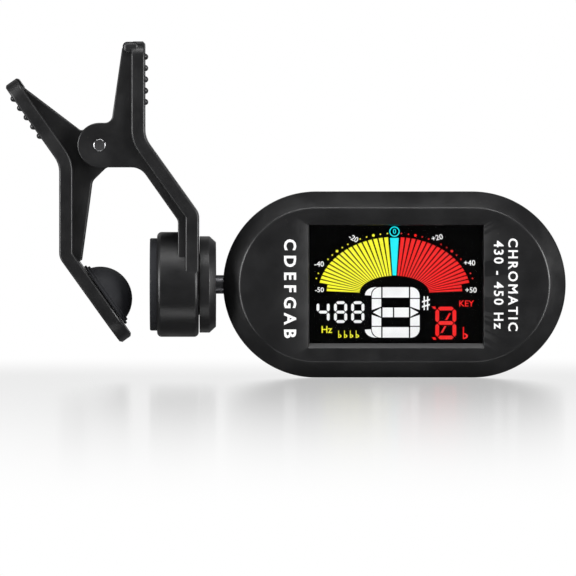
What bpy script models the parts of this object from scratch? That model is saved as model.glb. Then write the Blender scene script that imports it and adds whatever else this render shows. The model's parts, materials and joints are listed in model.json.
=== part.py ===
"""Clip-on tuner: a sprung two-lever clip, a ball joint in a round drum, and a display head.

Metres, +Z up. The origin is the centre of the drum pad's flat clamping face. +X runs along the
drum to the display head, the display faces -Y, and +Z points to the thumb grips.
"""

import math

import bmesh
import bpy
from mathutils import Matrix, Vector

MM = 0.001

# Fits between pieces
GAP = 0.3 * MM
SEAM = 0.15 * MM
SLIDE = 0.25 * MM
OVERRUN = 1.0 * MM
ARC_STEP = math.radians(15)

# Drum, clamping pad and pickup
PAD_RADIUS = 8.09 * MM
PAD_PROUD = 1.24 * MM
PAD_SUNK = 0.31 * MM
PAD_EDGE = 0.25 * MM
DRUM_RADIUS = 9.18 * MM
DRUM_LENGTH = 7.29 * MM
DRUM_EDGE = 0.8 * MM
PIEZO_RADIUS = 6.0 * MM
PIEZO_THICKNESS = 0.2 * MM
CERAMIC_RADIUS = 4.5 * MM
PIEZO_POCKET_DEPTH = 0.95 * MM
PARTITION = 0.55 * MM
LEAD_RADIUS = 0.35 * MM
LEAD_HOLE_RADIUS = 0.9 * MM

# Ball joint
BALL_RADIUS = 3.2 * MM
BALL_DEPTH = 3.85 * MM
STEM_RADIUS = 1.63 * MM
STEM_BORE = 0.75 * MM
STEM_SHOWING = 1.25 * MM
LINER_WALL = 0.4 * MM
LINER_SETBACK = 0.6 * MM
CUP_WALL = 1.1 * MM
WASHER_THICKNESS = 0.3 * MM
WASHER_HOLE_RADIUS = 2.1 * MM
CUP_REACH_BACK = 0.9
LINER_REACH_BACK = 0.88
COLLAR_LENGTH = 2.87 * MM
COLLAR_RADIUS = 8.44 * MM
COLLAR_CHAMFER_LENGTH = 1.14 * MM
COLLAR_CHAMFER_DEPTH = 1.03 * MM
THROAT_AHEAD = 2.1 * MM
MOUTH_FLARE = 0.86 * MM
SPIGOT_LENGTH = 0.6 * MM
STUD_FLANGE_RADIUS = 2.6 * MM
STUD_FLANGE_LENGTH = 1.0 * MM
STUD_TAIL = 2.2 * MM

# Levers
PLATE = 2.35 * MM
PLATE_HALF_WIDTH = 8.9 * MM
WEB_OUTER = 7.8 * MM
WEB_THICKNESS = 1.6 * MM
PIVOT_X = -8.73 * MM
PIVOT_Z = 24.38 * MM
PIN_RADIUS = 1.085 * MM
EAR_RADIUS = 3.9 * MM
SLOPE = math.radians(35.6)
GRIP_TILT = math.radians(35.2)
END_WALL = 2.1 * MM
END_CORNER = 0.6 * MM
PLAN_CORNER = 3.0 * MM
ARM_TOP_Z = 42.44 * MM
ARM_GRIP_X = -0.86 * MM
ARM_BEND_Z = 25.67 * MM
ARM_BEND_RADIUS = 4.6 * MM
ARM_FOOT_RADIUS = 2.7 * MM
ARM_WEB_TOP_DEPTH = 3.84 * MM
ARM_WEB_ROOT_DEPTH = 5.82 * MM
ARM_FOOT_WEB_DEPTH = 3.64 * MM
ARM_FOOT_WEB_DROP = 1.25 * MM
ARM_EAR_REACH = 7.14 * MM
ARM_WEB_CORNER = 1.4 * MM
ARM_EAR_FILLET = 3.0 * MM
ARM_SUNK_Z = 2.0 * MM
JAW_BACK_X = -15.77 * MM
JAW_BEND_Z = 21.09 * MM
JAW_GRIP_LENGTH = 16.55 * MM
JAW_FOOT_Z = 4.73 * MM
JAW_SLOPE_LENGTH = 18.4 * MM
JAW_END_CORNER = 6.5 * MM
JAW_HUB_RADIUS = 3.6 * MM
JAW_HUB_CORNER = 3.4 * MM
JAW_HUB_DROP = 4.4 * MM
# The jaw's web beside the hub, as (behind the pivot, above it, corner radius)
JAW_WEB_SHOULDER = (3.47 * MM, 2.59 * MM, 0.8 * MM)
JAW_WEB_WAIST = (
    (1.0 * MM, -5.2 * MM, 1.5 * MM),
    (1.87 * MM, -10.3 * MM, 12.0 * MM),
    (3.2 * MM, -20.1 * MM, 0),
)
JAW_WEB_FOOT = (0.9 * MM, 1.0 * MM)
SEAT_ALONG = 9.97 * MM
RIB_COUNT = 5
RIB_PITCH = 1.98 * MM
RIB_RADIUS = 0.55 * MM
RIB_HALF_LENGTH = 7.0 * MM
RIB_FROM_TIP = 2.64 * MM

# Jaw pad and spring
DOME_RADIUS = 5.6 * MM
DOME_HEIGHT = 3.8 * MM
PAD_STEP = 0.425 * MM
PAD_STEP_RADIUS = 5.75 * MM
PAD_FLANGE_RADIUS = 6.2 * MM
PEG_RADIUS = 1.5 * MM
PEG_LENGTH = 1.4 * MM
SPRING_WIRE = 0.4 * MM
SPRING_COIL_RADIUS = 2.2 * MM
SPRING_TURNS = 4
SPRING_PITCH = 0.95 * MM
SPRING_LEG = 11.5 * MM
SPRING_TURN_STEPS = 14
SPRING_JAW_ANGLE = math.radians(224)
SPRING_ARM_ANGLE = math.radians(350)

# Display head
HEAD_LENGTH = 59.9 * MM
HEAD_HEIGHT = 32.54 * MM
HEAD_DEPTH = 11.0 * MM
HEAD_BEVEL = 2.9 * MM
WALL = 1.3 * MM
FACE_WALL = 1.1 * MM
WINDOW_LENGTH = 30.7 * MM
WINDOW_BOTTOM = 11.1 * MM
WINDOW_TOP = 10.5 * MM
WINDOW_FROM_END = 14.9 * MM
WINDOW_SLOPE = 0.85 * MM
WINDOW_SIDE_SLOPE = 0.2 * MM
WINDOW_SLOPE_DEPTH = 0.7 * MM
LENS_THICKNESS = 0.7 * MM
LENS_LAP = 0.8 * MM
LCD_THICKNESS = 1.2 * MM
BACKLIGHT_THICKNESS = 0.7 * MM
FRAME_WALL = 0.75 * MM
BOARD_THICKNESS = 0.8 * MM
BOARD_INSET = 4.2 * MM
BOARD_CORNER = 1.5 * MM
CHIP_SIDE = 7.0 * MM
CHIP_HEIGHT = 1.2 * MM
CHIP_FROM_SWITCH = 3.0 * MM
CRYSTAL_RADIUS = 0.75 * MM
CRYSTAL_LENGTH = 5.0 * MM
CRYSTAL_Z = 7.5 * MM
CONNECTOR_DEPTH = 1.2 * MM
CONNECTOR_INSET = 3.0 * MM
BOSS_RADIUS = 1.4 * MM
BOSS_FROM_EDGE = 3.52 * MM
SCREW_HEAD_RADIUS = 1.1 * MM
SCREW_HEAD_HEIGHT = 0.8 * MM
SCREW_SHANK_RADIUS = 0.5 * MM
SCREW_SUNK = 0.3 * MM
STUD_BLOCK_LENGTH = 5.0 * MM
STUD_BLOCK_HALF = 5.0 * MM

# Battery
CELL_RADIUS = 10.0 * MM
CELL_THICKNESS = 3.2 * MM
CELL_STEP = 0.6 * MM
CELL_EDGE = 0.3 * MM
CELL_CAP_INSET = 1.6 * MM
CELL_HOLE_LAP = 1.0 * MM
DECK_THICKNESS = 1.6 * MM
DOOR_THICKNESS = 1.35 * MM
DOOR_LIP = 0.5 * MM
DOOR_TONGUE = 0.6 * MM
DOOR_MARGIN = 2.2 * MM
CONTACT_THICKNESS = 0.2 * MM
CONTACT_HALF_WIDTH = 2.4 * MM
CONTACT_HALF_LENGTH = 7.0 * MM
FINGER_GROOVES = 3
FINGER_GROOVE_RADIUS = 0.3 * MM
FINGER_GROOVE_HALF = 4.0 * MM
FINGER_GROOVE_START = 2.2 * MM
FINGER_GROOVE_PITCH = 1.2 * MM

# Buttons
BUTTON_RADIUS = 2.5 * MM
BUTTON_PROUD = 0.4 * MM
BUTTON_FLANGE = 0.7 * MM
BUTTON_EDGE = 0.3 * MM
BUTTON_PITCH = 7.6 * MM
BUTTON_FROM_END = 12.2 * MM
SWITCH_HALF = 2.2 * MM
SWITCH_HEIGHT = 1.2 * MM
PLUNGER_RADIUS = 1.0 * MM
PLUNGER_HEIGHT = 0.7 * MM
BUTTON_TRAVEL = 0.4 * MM

# Places that follow from the sizes
DRUM_FACE = PAD_PROUD
DRUM_END = DRUM_FACE + DRUM_LENGTH
PIEZO_BACK = DRUM_FACE + PAD_SUNK + SLIDE
POCKET_BACK = PIEZO_BACK + PIEZO_POCKET_DEPTH
CUP_FLOOR = POCKET_BACK + PARTITION
COLLAR_START = DRUM_END + SEAM
COLLAR_END = COLLAR_START + COLLAR_LENGTH
BALL_X = COLLAR_END - BALL_DEPTH
LINER_INNER = BALL_RADIUS + SLIDE
LINER_OUTER = LINER_INNER + LINER_WALL
CUP_INNER = LINER_OUTER + SLIDE
CUP_OUTER = CUP_INNER + CUP_WALL
CUP_BORE = CUP_OUTER + GAP
HEAD_START = COLLAR_END + STEM_SHOWING
HEAD_END = HEAD_START + HEAD_LENGTH
HEAD_RADIUS = HEAD_HEIGHT / 2
LEFT_CENTRE = HEAD_START + HEAD_RADIUS
RIGHT_CENTRE = HEAD_END - HEAD_RADIUS
HALF_DEPTH = HEAD_DEPTH / 2
INNER_DEPTH = HALF_DEPTH - FACE_WALL
ARM_FOOT_X = DRUM_END + 0.05 * MM
WINDOW_START = HEAD_START + WINDOW_FROM_END
WINDOW_END = WINDOW_START + WINDOW_LENGTH
LENS_FRONT = -INNER_DEPTH + GAP
LENS_BACK = LENS_FRONT + LENS_THICKNESS
LCD_FRONT = LENS_BACK + GAP
LCD_BACK = LCD_FRONT + LCD_THICKNESS
LIGHT_FRONT = LCD_BACK + GAP
LIGHT_BACK = LIGHT_FRONT + BACKLIGHT_THICKNESS
BOARD_FRONT = LIGHT_BACK + GAP
BOARD_BACK = BOARD_FRONT + BOARD_THICKNESS
BOSS_Z = HEAD_RADIUS - BOSS_FROM_EDGE
CELL_FRONT = BOARD_BACK + CONTACT_THICKNESS + 2 * SEAM
CELL_BACK = CELL_FRONT + CELL_THICKNESS
DOOR_INNER = HALF_DEPTH - DOOR_THICKNESS
DOOR_FLOOR = DOOR_INNER - SLIDE
DOOR_START = RIGHT_CENTRE - CELL_RADIUS - DOOR_MARGIN
DOOR_HALF = CELL_RADIUS + 2 * GAP
SWITCH_BACK = BOARD_BACK + SEAM + SWITCH_HEIGHT
PLUNGER_FRONT = SWITCH_BACK + BUTTON_TRAVEL + SEAM
PLUNGER_BACK = PLUNGER_FRONT + PLUNGER_HEIGHT
BUTTON_X = HEAD_START + BUTTON_FROM_END
NORMAL = Vector((math.cos(SLOPE), 0, math.sin(SLOPE)))
DOWN_SLOPE = Vector((math.sin(SLOPE), 0, -math.cos(SLOPE)))

PARTS = "clip_on_tuner"
HELPERS = "cutters"

# name: (base colour, roughness, metallic)
FINISHES = {
    "black_plastic": ((0.018, 0.018, 0.019, 1), 0.42, 0.0),
    "black_rubber": ((0.022, 0.023, 0.026, 1), 0.75, 0.0),
    "steel": ((0.55, 0.55, 0.56, 1), 0.30, 1.0),
    "dark_zinc": ((0.06, 0.06, 0.065, 1), 0.35, 0.7),
    "brass": ((0.62, 0.44, 0.16, 1), 0.30, 1.0),
    "ceramic": ((0.72, 0.70, 0.64, 1), 0.55, 0.0),
    "nylon": ((0.60, 0.60, 0.56, 1), 0.50, 0.0),
    "clear_plastic": ((0.80, 0.82, 0.85, 1), 0.05, 0.0),
    "display_glass": ((0.010, 0.010, 0.013, 1), 0.10, 0.0),
    "white_plastic": ((0.75, 0.76, 0.78, 1), 0.40, 0.0),
    "circuit_green": ((0.02, 0.11, 0.05, 1), 0.45, 0.0),
    "chip_black": ((0.02, 0.02, 0.02, 1), 0.55, 0.0),
    "lead_red": ((0.30, 0.03, 0.03, 1), 0.50, 0.0),
}


def clear_scene():
    for old in list(bpy.data.objects):
        bpy.data.objects.remove(old, do_unlink=True)


def collection(name):
    found = bpy.data.collections.get(name)
    if found is None:
        found = bpy.data.collections.new(name)
        bpy.context.scene.collection.children.link(found)
    return found


def material(name):
    found = bpy.data.materials.get(name)
    if found is None:
        colour, roughness, metallic = FINISHES[name]
        found = bpy.data.materials.new(name)
        found.use_nodes = True
        shader = found.node_tree.nodes["Principled BSDF"]
        shader.inputs["Base Color"].default_value = colour
        shader.inputs["Roughness"].default_value = roughness
        shader.inputs["Metallic"].default_value = metallic
    return found


def new_object(name, mesh):
    made = bpy.data.objects.new(name, mesh)
    collection(PARTS).objects.link(made)
    return made


def mesh_object(name, body):
    """A mesh object made from a bmesh, with its faces pointing out."""
    bmesh.ops.recalc_face_normals(body, faces=body.faces)
    mesh = bpy.data.meshes.new(name)
    body.to_mesh(mesh)
    body.free()
    return new_object(name, mesh)


def as_mesh(shape):
    """The curve's solid as a mesh object, with its caps welded on and its place in the mesh."""
    bpy.context.view_layer.update()
    graph = bpy.context.evaluated_depsgraph_get()
    mesh = bpy.data.meshes.new_from_object(shape.evaluated_get(graph))
    body = bmesh.new()
    body.from_mesh(mesh)
    bpy.data.meshes.remove(mesh)
    bmesh.ops.remove_doubles(body, verts=body.verts, dist=0.001 * MM)
    if shape.data.dimensions == "2D":
        flat = math.radians(0.5)
        bmesh.ops.dissolve_limit(body, angle_limit=flat, verts=body.verts, edges=body.edges)
    bmesh.ops.transform(body, matrix=shape.matrix_world, verts=body.verts)
    name = shape.name
    bpy.data.objects.remove(shape)
    return mesh_object(name, body)


def rounded(corners):
    """The outline through (x, z, radius) corners, each turned into an arc of its radius."""
    points = []
    for index, (x, z, radius) in enumerate(corners):
        here = Vector((x, z))
        if radius == 0:
            points.append(here)
            continue
        back = (Vector(corners[index - 1][:2]) - here).normalized()
        ahead = (Vector(corners[(index + 1) % len(corners)][:2]) - here).normalized()
        turn = back.angle(ahead)
        centre = here + (back + ahead).normalized() * radius / math.sin(turn / 2)
        first = here + back * radius / math.tan(turn / 2) - centre
        last = here + ahead * radius / math.tan(turn / 2) - centre
        sweep = math.pi - turn
        steps = max(2, math.ceil(sweep / ARC_STEP))
        for step in range(steps + 1):
            share = sweep * step / steps
            point = (first * math.sin(sweep - share) + last * math.sin(share)) / math.sin(sweep)
            if not points or (centre + point - points[-1]).length > 0.001 * MM:
                points.append(centre + point)
    return points


def offset_path(path, distance):
    """An open path of (x, z) points moved sideways, to the left of its direction."""
    points = [Vector(point) for point in path]
    ways = [(after - before).normalized() for before, after in zip(points, points[1:])]
    sides = [Vector((-way.y, way.x)) for way in ways]
    moved = [points[0] + sides[0] * distance]
    for here, side, following in zip(points[1:], sides, sides[1:]):
        middle = (side + following).normalized()
        moved.append(here + middle * distance / middle.dot(side))
    moved.append(points[-1] + sides[-1] * distance)
    return [tuple(point) for point in moved]


def prism(name, outline, low, high):
    """A flat outline in X and Z, thickened along Y from low to high."""
    curve = bpy.data.curves.new(name, "CURVE")
    curve.dimensions = "2D"
    curve.fill_mode = "BOTH"
    curve.extrude = (high - low) / 2
    spline = curve.splines.new("POLY")
    spline.points.add(len(outline) - 1)
    for point, (x, z) in zip(spline.points, outline):
        point.co = (x, z, 0, 1)
    spline.use_cyclic_u = True
    shape = new_object(name, curve)
    shape.rotation_euler.x = math.pi / 2
    shape.location.y = (low + high) / 2
    return as_mesh(shape)


def box(name, low, high):
    body = bmesh.new()
    low, high = Vector(low), Vector(high)
    size = Matrix.Diagonal(high - low).to_4x4()
    bmesh.ops.create_cube(body, size=1, matrix=Matrix.Translation((low + high) / 2) @ size)
    return mesh_object(name, body)


def cylinder_body(body, radius, start, end, segments):
    start, end = Vector(start), Vector(end)
    turn = (end - start).to_track_quat("Z", "Y").to_matrix().to_4x4()
    bmesh.ops.create_cone(
        body,
        cap_ends=True,
        segments=segments,
        radius1=radius,
        radius2=radius,
        depth=(end - start).length,
        matrix=Matrix.Translation((start + end) / 2) @ turn,
    )


def cylinder(name, radius, start, end, segments=24):
    body = bmesh.new()
    cylinder_body(body, radius, start, end, segments)
    return mesh_object(name, body)


def turned(name, profile, origin=(0, 0, 0), axis=(1, 0, 0), steps=32):
    """A profile of (along the axis, radius), from the far end down its outer side, turned round."""
    mesh = bpy.data.meshes.new(name)
    edges = [(i, i + 1) for i in range(len(profile) - 1)]
    if profile[0][1] > 0:
        edges.append((len(profile) - 1, 0))
    mesh.from_pydata([(radius, 0, along) for along, radius in profile], edges, [])
    made = new_object(name, mesh)
    made.location = origin
    made.rotation_mode = "QUATERNION"
    made.rotation_quaternion = Vector(axis).to_track_quat("Z", "Y")
    screw = made.modifiers.new("turn", "SCREW")
    screw.steps = steps
    screw.render_steps = steps
    screw.use_merge_vertices = True
    screw.merge_threshold = 0.01 * MM
    return made


def wire(name, points, radius, resolution=2):
    curve = bpy.data.curves.new(name, "CURVE")
    curve.dimensions = "3D"
    curve.bevel_depth = radius
    curve.bevel_resolution = resolution
    curve.use_fill_caps = True
    spline = curve.splines.new("POLY")
    spline.points.add(len(points) - 1)
    for point, place in zip(spline.points, points):
        point.co = (*place, 1)
    return as_mesh(new_object(name, curve))


def combine(target, tool, operation):
    """A Boolean between a piece and a helper shape, which is hidden afterwards."""
    collection(PARTS).objects.unlink(tool)
    collection(HELPERS).objects.link(tool)
    tool.hide_render = True
    tool.display_type = "WIRE"
    modifier = target.modifiers.new(tool.name, "BOOLEAN")
    modifier.operation = operation
    modifier.object = tool


def cut(target, *tools):
    for tool in tools:
        combine(target, tool, "DIFFERENCE")


def add(target, *tools):
    for tool in tools:
        combine(target, tool, "UNION")


def keep_inside(target, tool):
    combine(target, tool, "INTERSECT")


def soften(piece, width, segments=1):
    bevel = piece.modifiers.new("soften", "BEVEL")
    bevel.width = width
    bevel.segments = segments
    bevel.limit_method = "ANGLE"
    bevel.angle_limit = math.radians(40)


def axis_empty(name, place, parent=None):
    """An empty on a joint's axis, which the pieces that move on it are parented to."""
    made = new_object(name, None)
    made.empty_display_size = 5 * MM
    made.location = Vector(place) - (Vector(parent["place"]) if parent else Vector())
    made.parent = parent
    made["place"] = tuple(place)
    return made


def settle(piece, finish, parent):
    """Gives a piece its material, and its origin on the axis of the empty that carries it."""
    place = Vector(parent["place"])
    piece.data.materials.append(material(finish))
    if piece.rotation_mode != "QUATERNION":
        piece.data.transform(Matrix.Translation(piece.location - place))
        piece.location = (0, 0, 0)
    else:
        piece.location = piece.location - place
    piece.parent = parent
    piece.data.shade_smooth()
    piece.data.set_sharp_from_angle(angle=math.radians(35))
    return piece


# Clip


def arm_path():
    """The outer side of the drum arm, from the thumb grip down into the drum."""
    run = (ARM_FOOT_X - ARM_GRIP_X) / math.tan(SLOPE)
    foot_z = ARM_BEND_Z - run
    return [
        (ARM_GRIP_X, ARM_TOP_Z),
        (ARM_GRIP_X, ARM_BEND_Z),
        (ARM_FOOT_X, foot_z),
        (ARM_FOOT_X, ARM_SUNK_Z),
    ]


def jaw_path():
    """The outer side of the jaw lever, from the thumb grip down to the end of the jaw."""
    return [
        (
            JAW_BACK_X - JAW_GRIP_LENGTH * math.sin(GRIP_TILT),
            JAW_BEND_Z + JAW_GRIP_LENGTH * math.cos(GRIP_TILT),
        ),
        (JAW_BACK_X, JAW_BEND_Z),
        (JAW_BACK_X, JAW_FOOT_Z),
        (
            JAW_BACK_X + JAW_SLOPE_LENGTH * DOWN_SLOPE.x,
            JAW_FOOT_Z + JAW_SLOPE_LENGTH * DOWN_SLOPE.z,
        ),
    ]


def bent_plate(name, path, thickness, radii):
    """A plate of even thickness along a bent path, inwards of it, a little over its final width."""
    inner = offset_path(path, thickness)
    ends = [END_CORNER, *radii, END_CORNER]
    corners = [(*point, radius) for point, radius in zip(path, ends)]
    corners += [(*point, radius) for point, radius in zip(reversed(inner), reversed(ends))]
    return prism(name, rounded(corners), -PLATE_HALF_WIDTH - SLIDE, PLATE_HALF_WIDTH + SLIDE)


def ribs(name, start, along):
    """The grip ribs: bars half sunk in the outer side, evenly pitched from the tip."""
    body = bmesh.new()
    for index in range(RIB_COUNT):
        place = Vector(start) + Vector(along) * (RIB_FROM_TIP + index * RIB_PITCH)
        side = Vector((0, RIB_HALF_LENGTH, 0))
        cylinder_body(body, RIB_RADIUS, place - side, place + side, 12)
    return mesh_object(name, body)


def plan_limit(name, corner, turn, place):
    """A slab with two rounded corners that rounds the end of a plate as seen square to it."""
    half = PLATE_HALF_WIDTH
    reach = 3 * ARM_TOP_Z
    far = 0.05 * MM
    outline = rounded([(-half, -reach, 0), (half, -reach, 0), (half, far, corner), (-half, far, corner)])
    slab = prism(name, outline, -reach, reach)
    slab.data.transform(Matrix.Translation(place) @ turn)
    return slab


def pin_hole(name):
    side = Vector((0, 2 * PLATE_HALF_WIDTH, 0))
    centre = Vector((PIVOT_X, 0, PIVOT_Z))
    return cylinder(name, PIN_RADIUS + SEAM, centre - side, centre + side)


def drum_arm():
    path = arm_path()
    middle = offset_path(path, -PLATE / 2)
    inside = offset_path(path, -0.75 * PLATE)
    foot_z = path[2][1]
    ear_top = PIVOT_Z + EAR_RADIUS
    ear_bottom = PIVOT_Z - EAR_RADIUS
    ear_left = PIVOT_X - EAR_RADIUS
    root_x = ARM_GRIP_X - ARM_WEB_ROOT_DEPTH
    web = rounded(
        [
            (middle[0][0], ARM_TOP_Z, 0),
            (ARM_GRIP_X - ARM_WEB_TOP_DEPTH, ARM_TOP_Z, END_CORNER),
            (root_x, ear_top, ARM_WEB_CORNER),
            (ear_left, ear_top, EAR_RADIUS),
            (ear_left, ear_bottom, EAR_RADIUS),
            (PIVOT_X + ARM_EAR_REACH, ear_bottom, ARM_EAR_FILLET),
            (ARM_FOOT_X - ARM_FOOT_WEB_DEPTH, foot_z - ARM_FOOT_WEB_DROP, ARM_WEB_CORNER),
            (ARM_FOOT_X - ARM_FOOT_WEB_DEPTH, ARM_SUNK_Z, 0),
            (*middle[3], 0),
            (*middle[2], ARM_FOOT_RADIUS),
            (*middle[1], ARM_BEND_RADIUS),
        ]
    )
    arm = prism("drum_arm", web, -WEB_OUTER, WEB_OUTER)
    inner_half = WEB_OUTER - WEB_THICKNESS
    far_left = PIVOT_X - 3 * EAR_RADIUS
    pocket = [
        (inside[0][0], ARM_TOP_Z - END_WALL, 0),
        (far_left, ARM_TOP_Z - END_WALL, 0),
        (far_left, ARM_SUNK_Z - OVERRUN, 0),
        (inside[3][0], ARM_SUNK_Z - OVERRUN, 0),
        (*inside[2], 0),
        (*inside[1], 0),
    ]
    cut(arm, prism("arm_pocket", rounded(pocket), -inner_half, inner_half))
    plate = bent_plate("arm_plate", path, -PLATE, [ARM_BEND_RADIUS, ARM_FOOT_RADIUS])
    upright = Matrix.Rotation(math.pi / 2, 4, "Z")
    limit = plan_limit("arm_plan", PLAN_CORNER, upright, (0, 0, ARM_TOP_Z))
    wall_start = (ARM_GRIP_X - ARM_WEB_TOP_DEPTH, -PLATE_HALF_WIDTH - SLIDE, ARM_TOP_Z - END_WALL)
    wall_end = (ARM_GRIP_X - PLATE / 2, PLATE_HALF_WIDTH + SLIDE, ARM_TOP_Z + OVERRUN)
    add(arm, plate, box("arm_end_wall", wall_start, wall_end))
    keep_inside(arm, limit)
    edge = DRUM_EDGE
    quarter = [math.pi / 2 * step / 3 for step in range(4)]
    round_end = [
        (DRUM_END - edge + edge * math.cos(angle), DRUM_RADIUS - edge + edge * math.sin(angle))
        for angle in quarter
    ]
    round_start = [
        (DRUM_FACE + edge - edge * math.sin(angle), DRUM_RADIUS - edge + edge * math.cos(angle))
        for angle in quarter
    ]
    profile = [(DRUM_END, 0), *round_end, *round_start, (DRUM_FACE, 0)]
    add(arm, turned("drum_barrel", profile, steps=48))
    add(arm, ribs("arm_ribs", (ARM_GRIP_X, 0, ARM_TOP_Z), (0, 0, -1)))
    cut(arm, pin_hole("arm_pin_hole"))
    cavity = [
        (DRUM_END + OVERRUN, 0),
        (DRUM_END + OVERRUN, CUP_BORE),
        (CUP_FLOOR, CUP_BORE),
        (CUP_FLOOR, LEAD_HOLE_RADIUS),
        (POCKET_BACK, LEAD_HOLE_RADIUS),
        (POCKET_BACK, PIEZO_RADIUS + GAP),
        (PIEZO_BACK - SLIDE, PIEZO_RADIUS + GAP),
        (PIEZO_BACK - SLIDE, PAD_RADIUS + SEAM),
        (DRUM_FACE - OVERRUN, PAD_RADIUS + SEAM),
        (DRUM_FACE - OVERRUN, 0),
    ]
    cut(arm, turned("drum_cavity", cavity, steps=32))
    return arm


def seat_centre():
    """The middle of the jaw pad's seat, on the inner side of the sloping plate."""
    outer = Vector((JAW_BACK_X, 0, JAW_FOOT_Z)) + DOWN_SLOPE * SEAT_ALONG
    return outer + NORMAL * PLATE


def beside_pivot(corner):
    behind, above, radius = corner
    return (PIVOT_X - behind, PIVOT_Z + above, radius)


def jaw_lever():
    path = jaw_path()
    middle = offset_path(path, PLATE / 2)
    inside = offset_path(path, 0.75 * PLATE)
    inner = offset_path(path, PLATE)
    hub_right = PIVOT_X + JAW_HUB_RADIUS
    hub_top = PIVOT_Z + JAW_HUB_RADIUS
    web = rounded(
        [
            (*middle[0], 0),
            (*inner[0], 0),
            beside_pivot(JAW_WEB_SHOULDER),
            (hub_right, hub_top, JAW_HUB_CORNER),
            (hub_right, PIVOT_Z - JAW_HUB_DROP, JAW_HUB_CORNER),
            *[beside_pivot(corner) for corner in JAW_WEB_WAIST],
            (inside[2][0] + JAW_WEB_FOOT[0], JAW_FOOT_Z - JAW_WEB_FOOT[1], 0),
            (*middle[2], 0),
            (*middle[1], ARM_BEND_RADIUS),
        ]
    )
    outer_half = WEB_OUTER - WEB_THICKNESS - GAP
    inner_half = outer_half - WEB_THICKNESS
    lever = prism("jaw_lever", web, -outer_half, outer_half)
    tip_way = (Vector(path[1]) - Vector(path[0])).normalized()
    tip = Vector(inside[0]) + tip_way * END_WALL
    inward = Vector((-tip_way.y, tip_way.x)) * 4 * PLATE
    pocket = [
        (*tip, 0),
        (*inside[1], 0),
        (*inside[2], 0),
        (inside[2][0] + 3 * PLATE * DOWN_SLOPE.x, inside[2][1] + 3 * PLATE * DOWN_SLOPE.z, 0),
        (hub_right + PLATE, inside[2][1] + 3 * PLATE * DOWN_SLOPE.z, 0),
        (hub_right + PLATE, hub_top + 4 * PLATE, 0),
        (*(tip + inward), 0),
    ]
    cut(lever, prism("jaw_pocket", rounded(pocket), -inner_half, inner_half))
    plate = bent_plate("jaw_plate", path, PLATE, [ARM_BEND_RADIUS, ARM_FOOT_RADIUS])
    add(lever, plate)
    grip_turn = Matrix.Rotation(-GRIP_TILT, 4, "Y") @ Matrix.Rotation(math.pi / 2, 4, "Z")
    slope_turn = Matrix.Rotation(math.pi - SLOPE, 4, "Y") @ Matrix.Rotation(math.pi / 2, 4, "Z")
    top = Vector((path[0][0], 0, path[0][1]))
    bottom = Vector((path[3][0], 0, path[3][1]))
    keep_inside(lever, plan_limit("jaw_grip_plan", PLAN_CORNER, grip_turn, top))
    keep_inside(lever, plan_limit("jaw_end_plan", JAW_END_CORNER, slope_turn, bottom))
    add(lever, ribs("jaw_ribs", (path[0][0], 0, path[0][1]), (tip_way.x, 0, tip_way.y)))
    cut(lever, pin_hole("jaw_pin_hole"))
    seat = seat_centre()
    hole_end = seat - NORMAL * (PEG_LENGTH + GAP)
    cut(lever, cylinder("peg_hole", PEG_RADIUS + GAP, seat + NORMAL * OVERRUN, hole_end))
    return lever


def jaw_pad():
    """A dome on a stepped flange, with a peg that holds it in the jaw."""
    base = SEAM + 2 * PAD_STEP
    full = math.acos(1 - DOME_HEIGHT / DOME_RADIUS)
    centre = base + DOME_HEIGHT - DOME_RADIUS
    angles = [full * step / 6 for step in range(7)]
    dome = [(centre + DOME_RADIUS * math.cos(a), DOME_RADIUS * math.sin(a)) for a in angles]
    profile = [
        *dome,
        (base, PAD_STEP_RADIUS),
        (base - PAD_STEP, PAD_STEP_RADIUS),
        (base - PAD_STEP, PAD_FLANGE_RADIUS),
        (SEAM, PAD_FLANGE_RADIUS),
        (SEAM, PEG_RADIUS),
        (-PEG_LENGTH, PEG_RADIUS),
        (-PEG_LENGTH, 0),
    ]
    return turned("jaw_pad", profile, seat_centre(), NORMAL, steps=28)


def drum_pad():
    back = PAD_PROUD + PAD_SUNK
    profile = [
        (back, 0),
        (back, PAD_RADIUS),
        (PAD_EDGE, PAD_RADIUS),
        (0, PAD_RADIUS - PAD_EDGE),
        (0, 0),
    ]
    return turned("drum_pad", profile, steps=48)


def pivot_pin():
    end = WEB_OUTER + SEAM
    pin = cylinder("pivot_pin", PIN_RADIUS, (PIVOT_X, -end, PIVOT_Z), (PIVOT_X, end, PIVOT_Z), 24)
    soften(pin, SEAM)
    return pin


def torsion_spring():
    """Close turns round the pin, with a straight leg out along each thumb grip."""
    radius = SPRING_COIL_RADIUS
    half = SPRING_TURNS * SPRING_PITCH / 2
    first = SPRING_JAW_ANGLE
    last = SPRING_ARM_ANGLE + 2 * math.pi * (SPRING_TURNS - 1)
    steps = SPRING_TURN_STEPS * SPRING_TURNS
    coil = []
    for step in range(steps + 1):
        share = step / steps
        angle = first + (last - first) * share
        out = Vector((math.cos(angle), 0, math.sin(angle))) * radius
        coil.append(Vector((PIVOT_X, half * (1 - 2 * share), PIVOT_Z)) + out)
    jaw_way = Vector((math.sin(first), 0, -math.cos(first)))
    arm_way = Vector((-math.sin(last), 0, math.cos(last)))
    points = [coil[0] + jaw_way * SPRING_LEG, *coil, coil[-1] + arm_way * SPRING_LEG]
    return wire("torsion_spring", points, SPRING_WIRE)


# Drum, pickup and ball joint


def piezo_disc():
    start = PIEZO_BACK
    return cylinder("piezo_disc", PIEZO_RADIUS, (start, 0, 0), (start + PIEZO_THICKNESS, 0, 0), 32)


def piezo_ceramic():
    start = PIEZO_BACK + PIEZO_THICKNESS + SEAM
    return cylinder("piezo_ceramic", CERAMIC_RADIUS, (start, 0, 0), (start + PIEZO_THICKNESS, 0, 0), 28)


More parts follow.
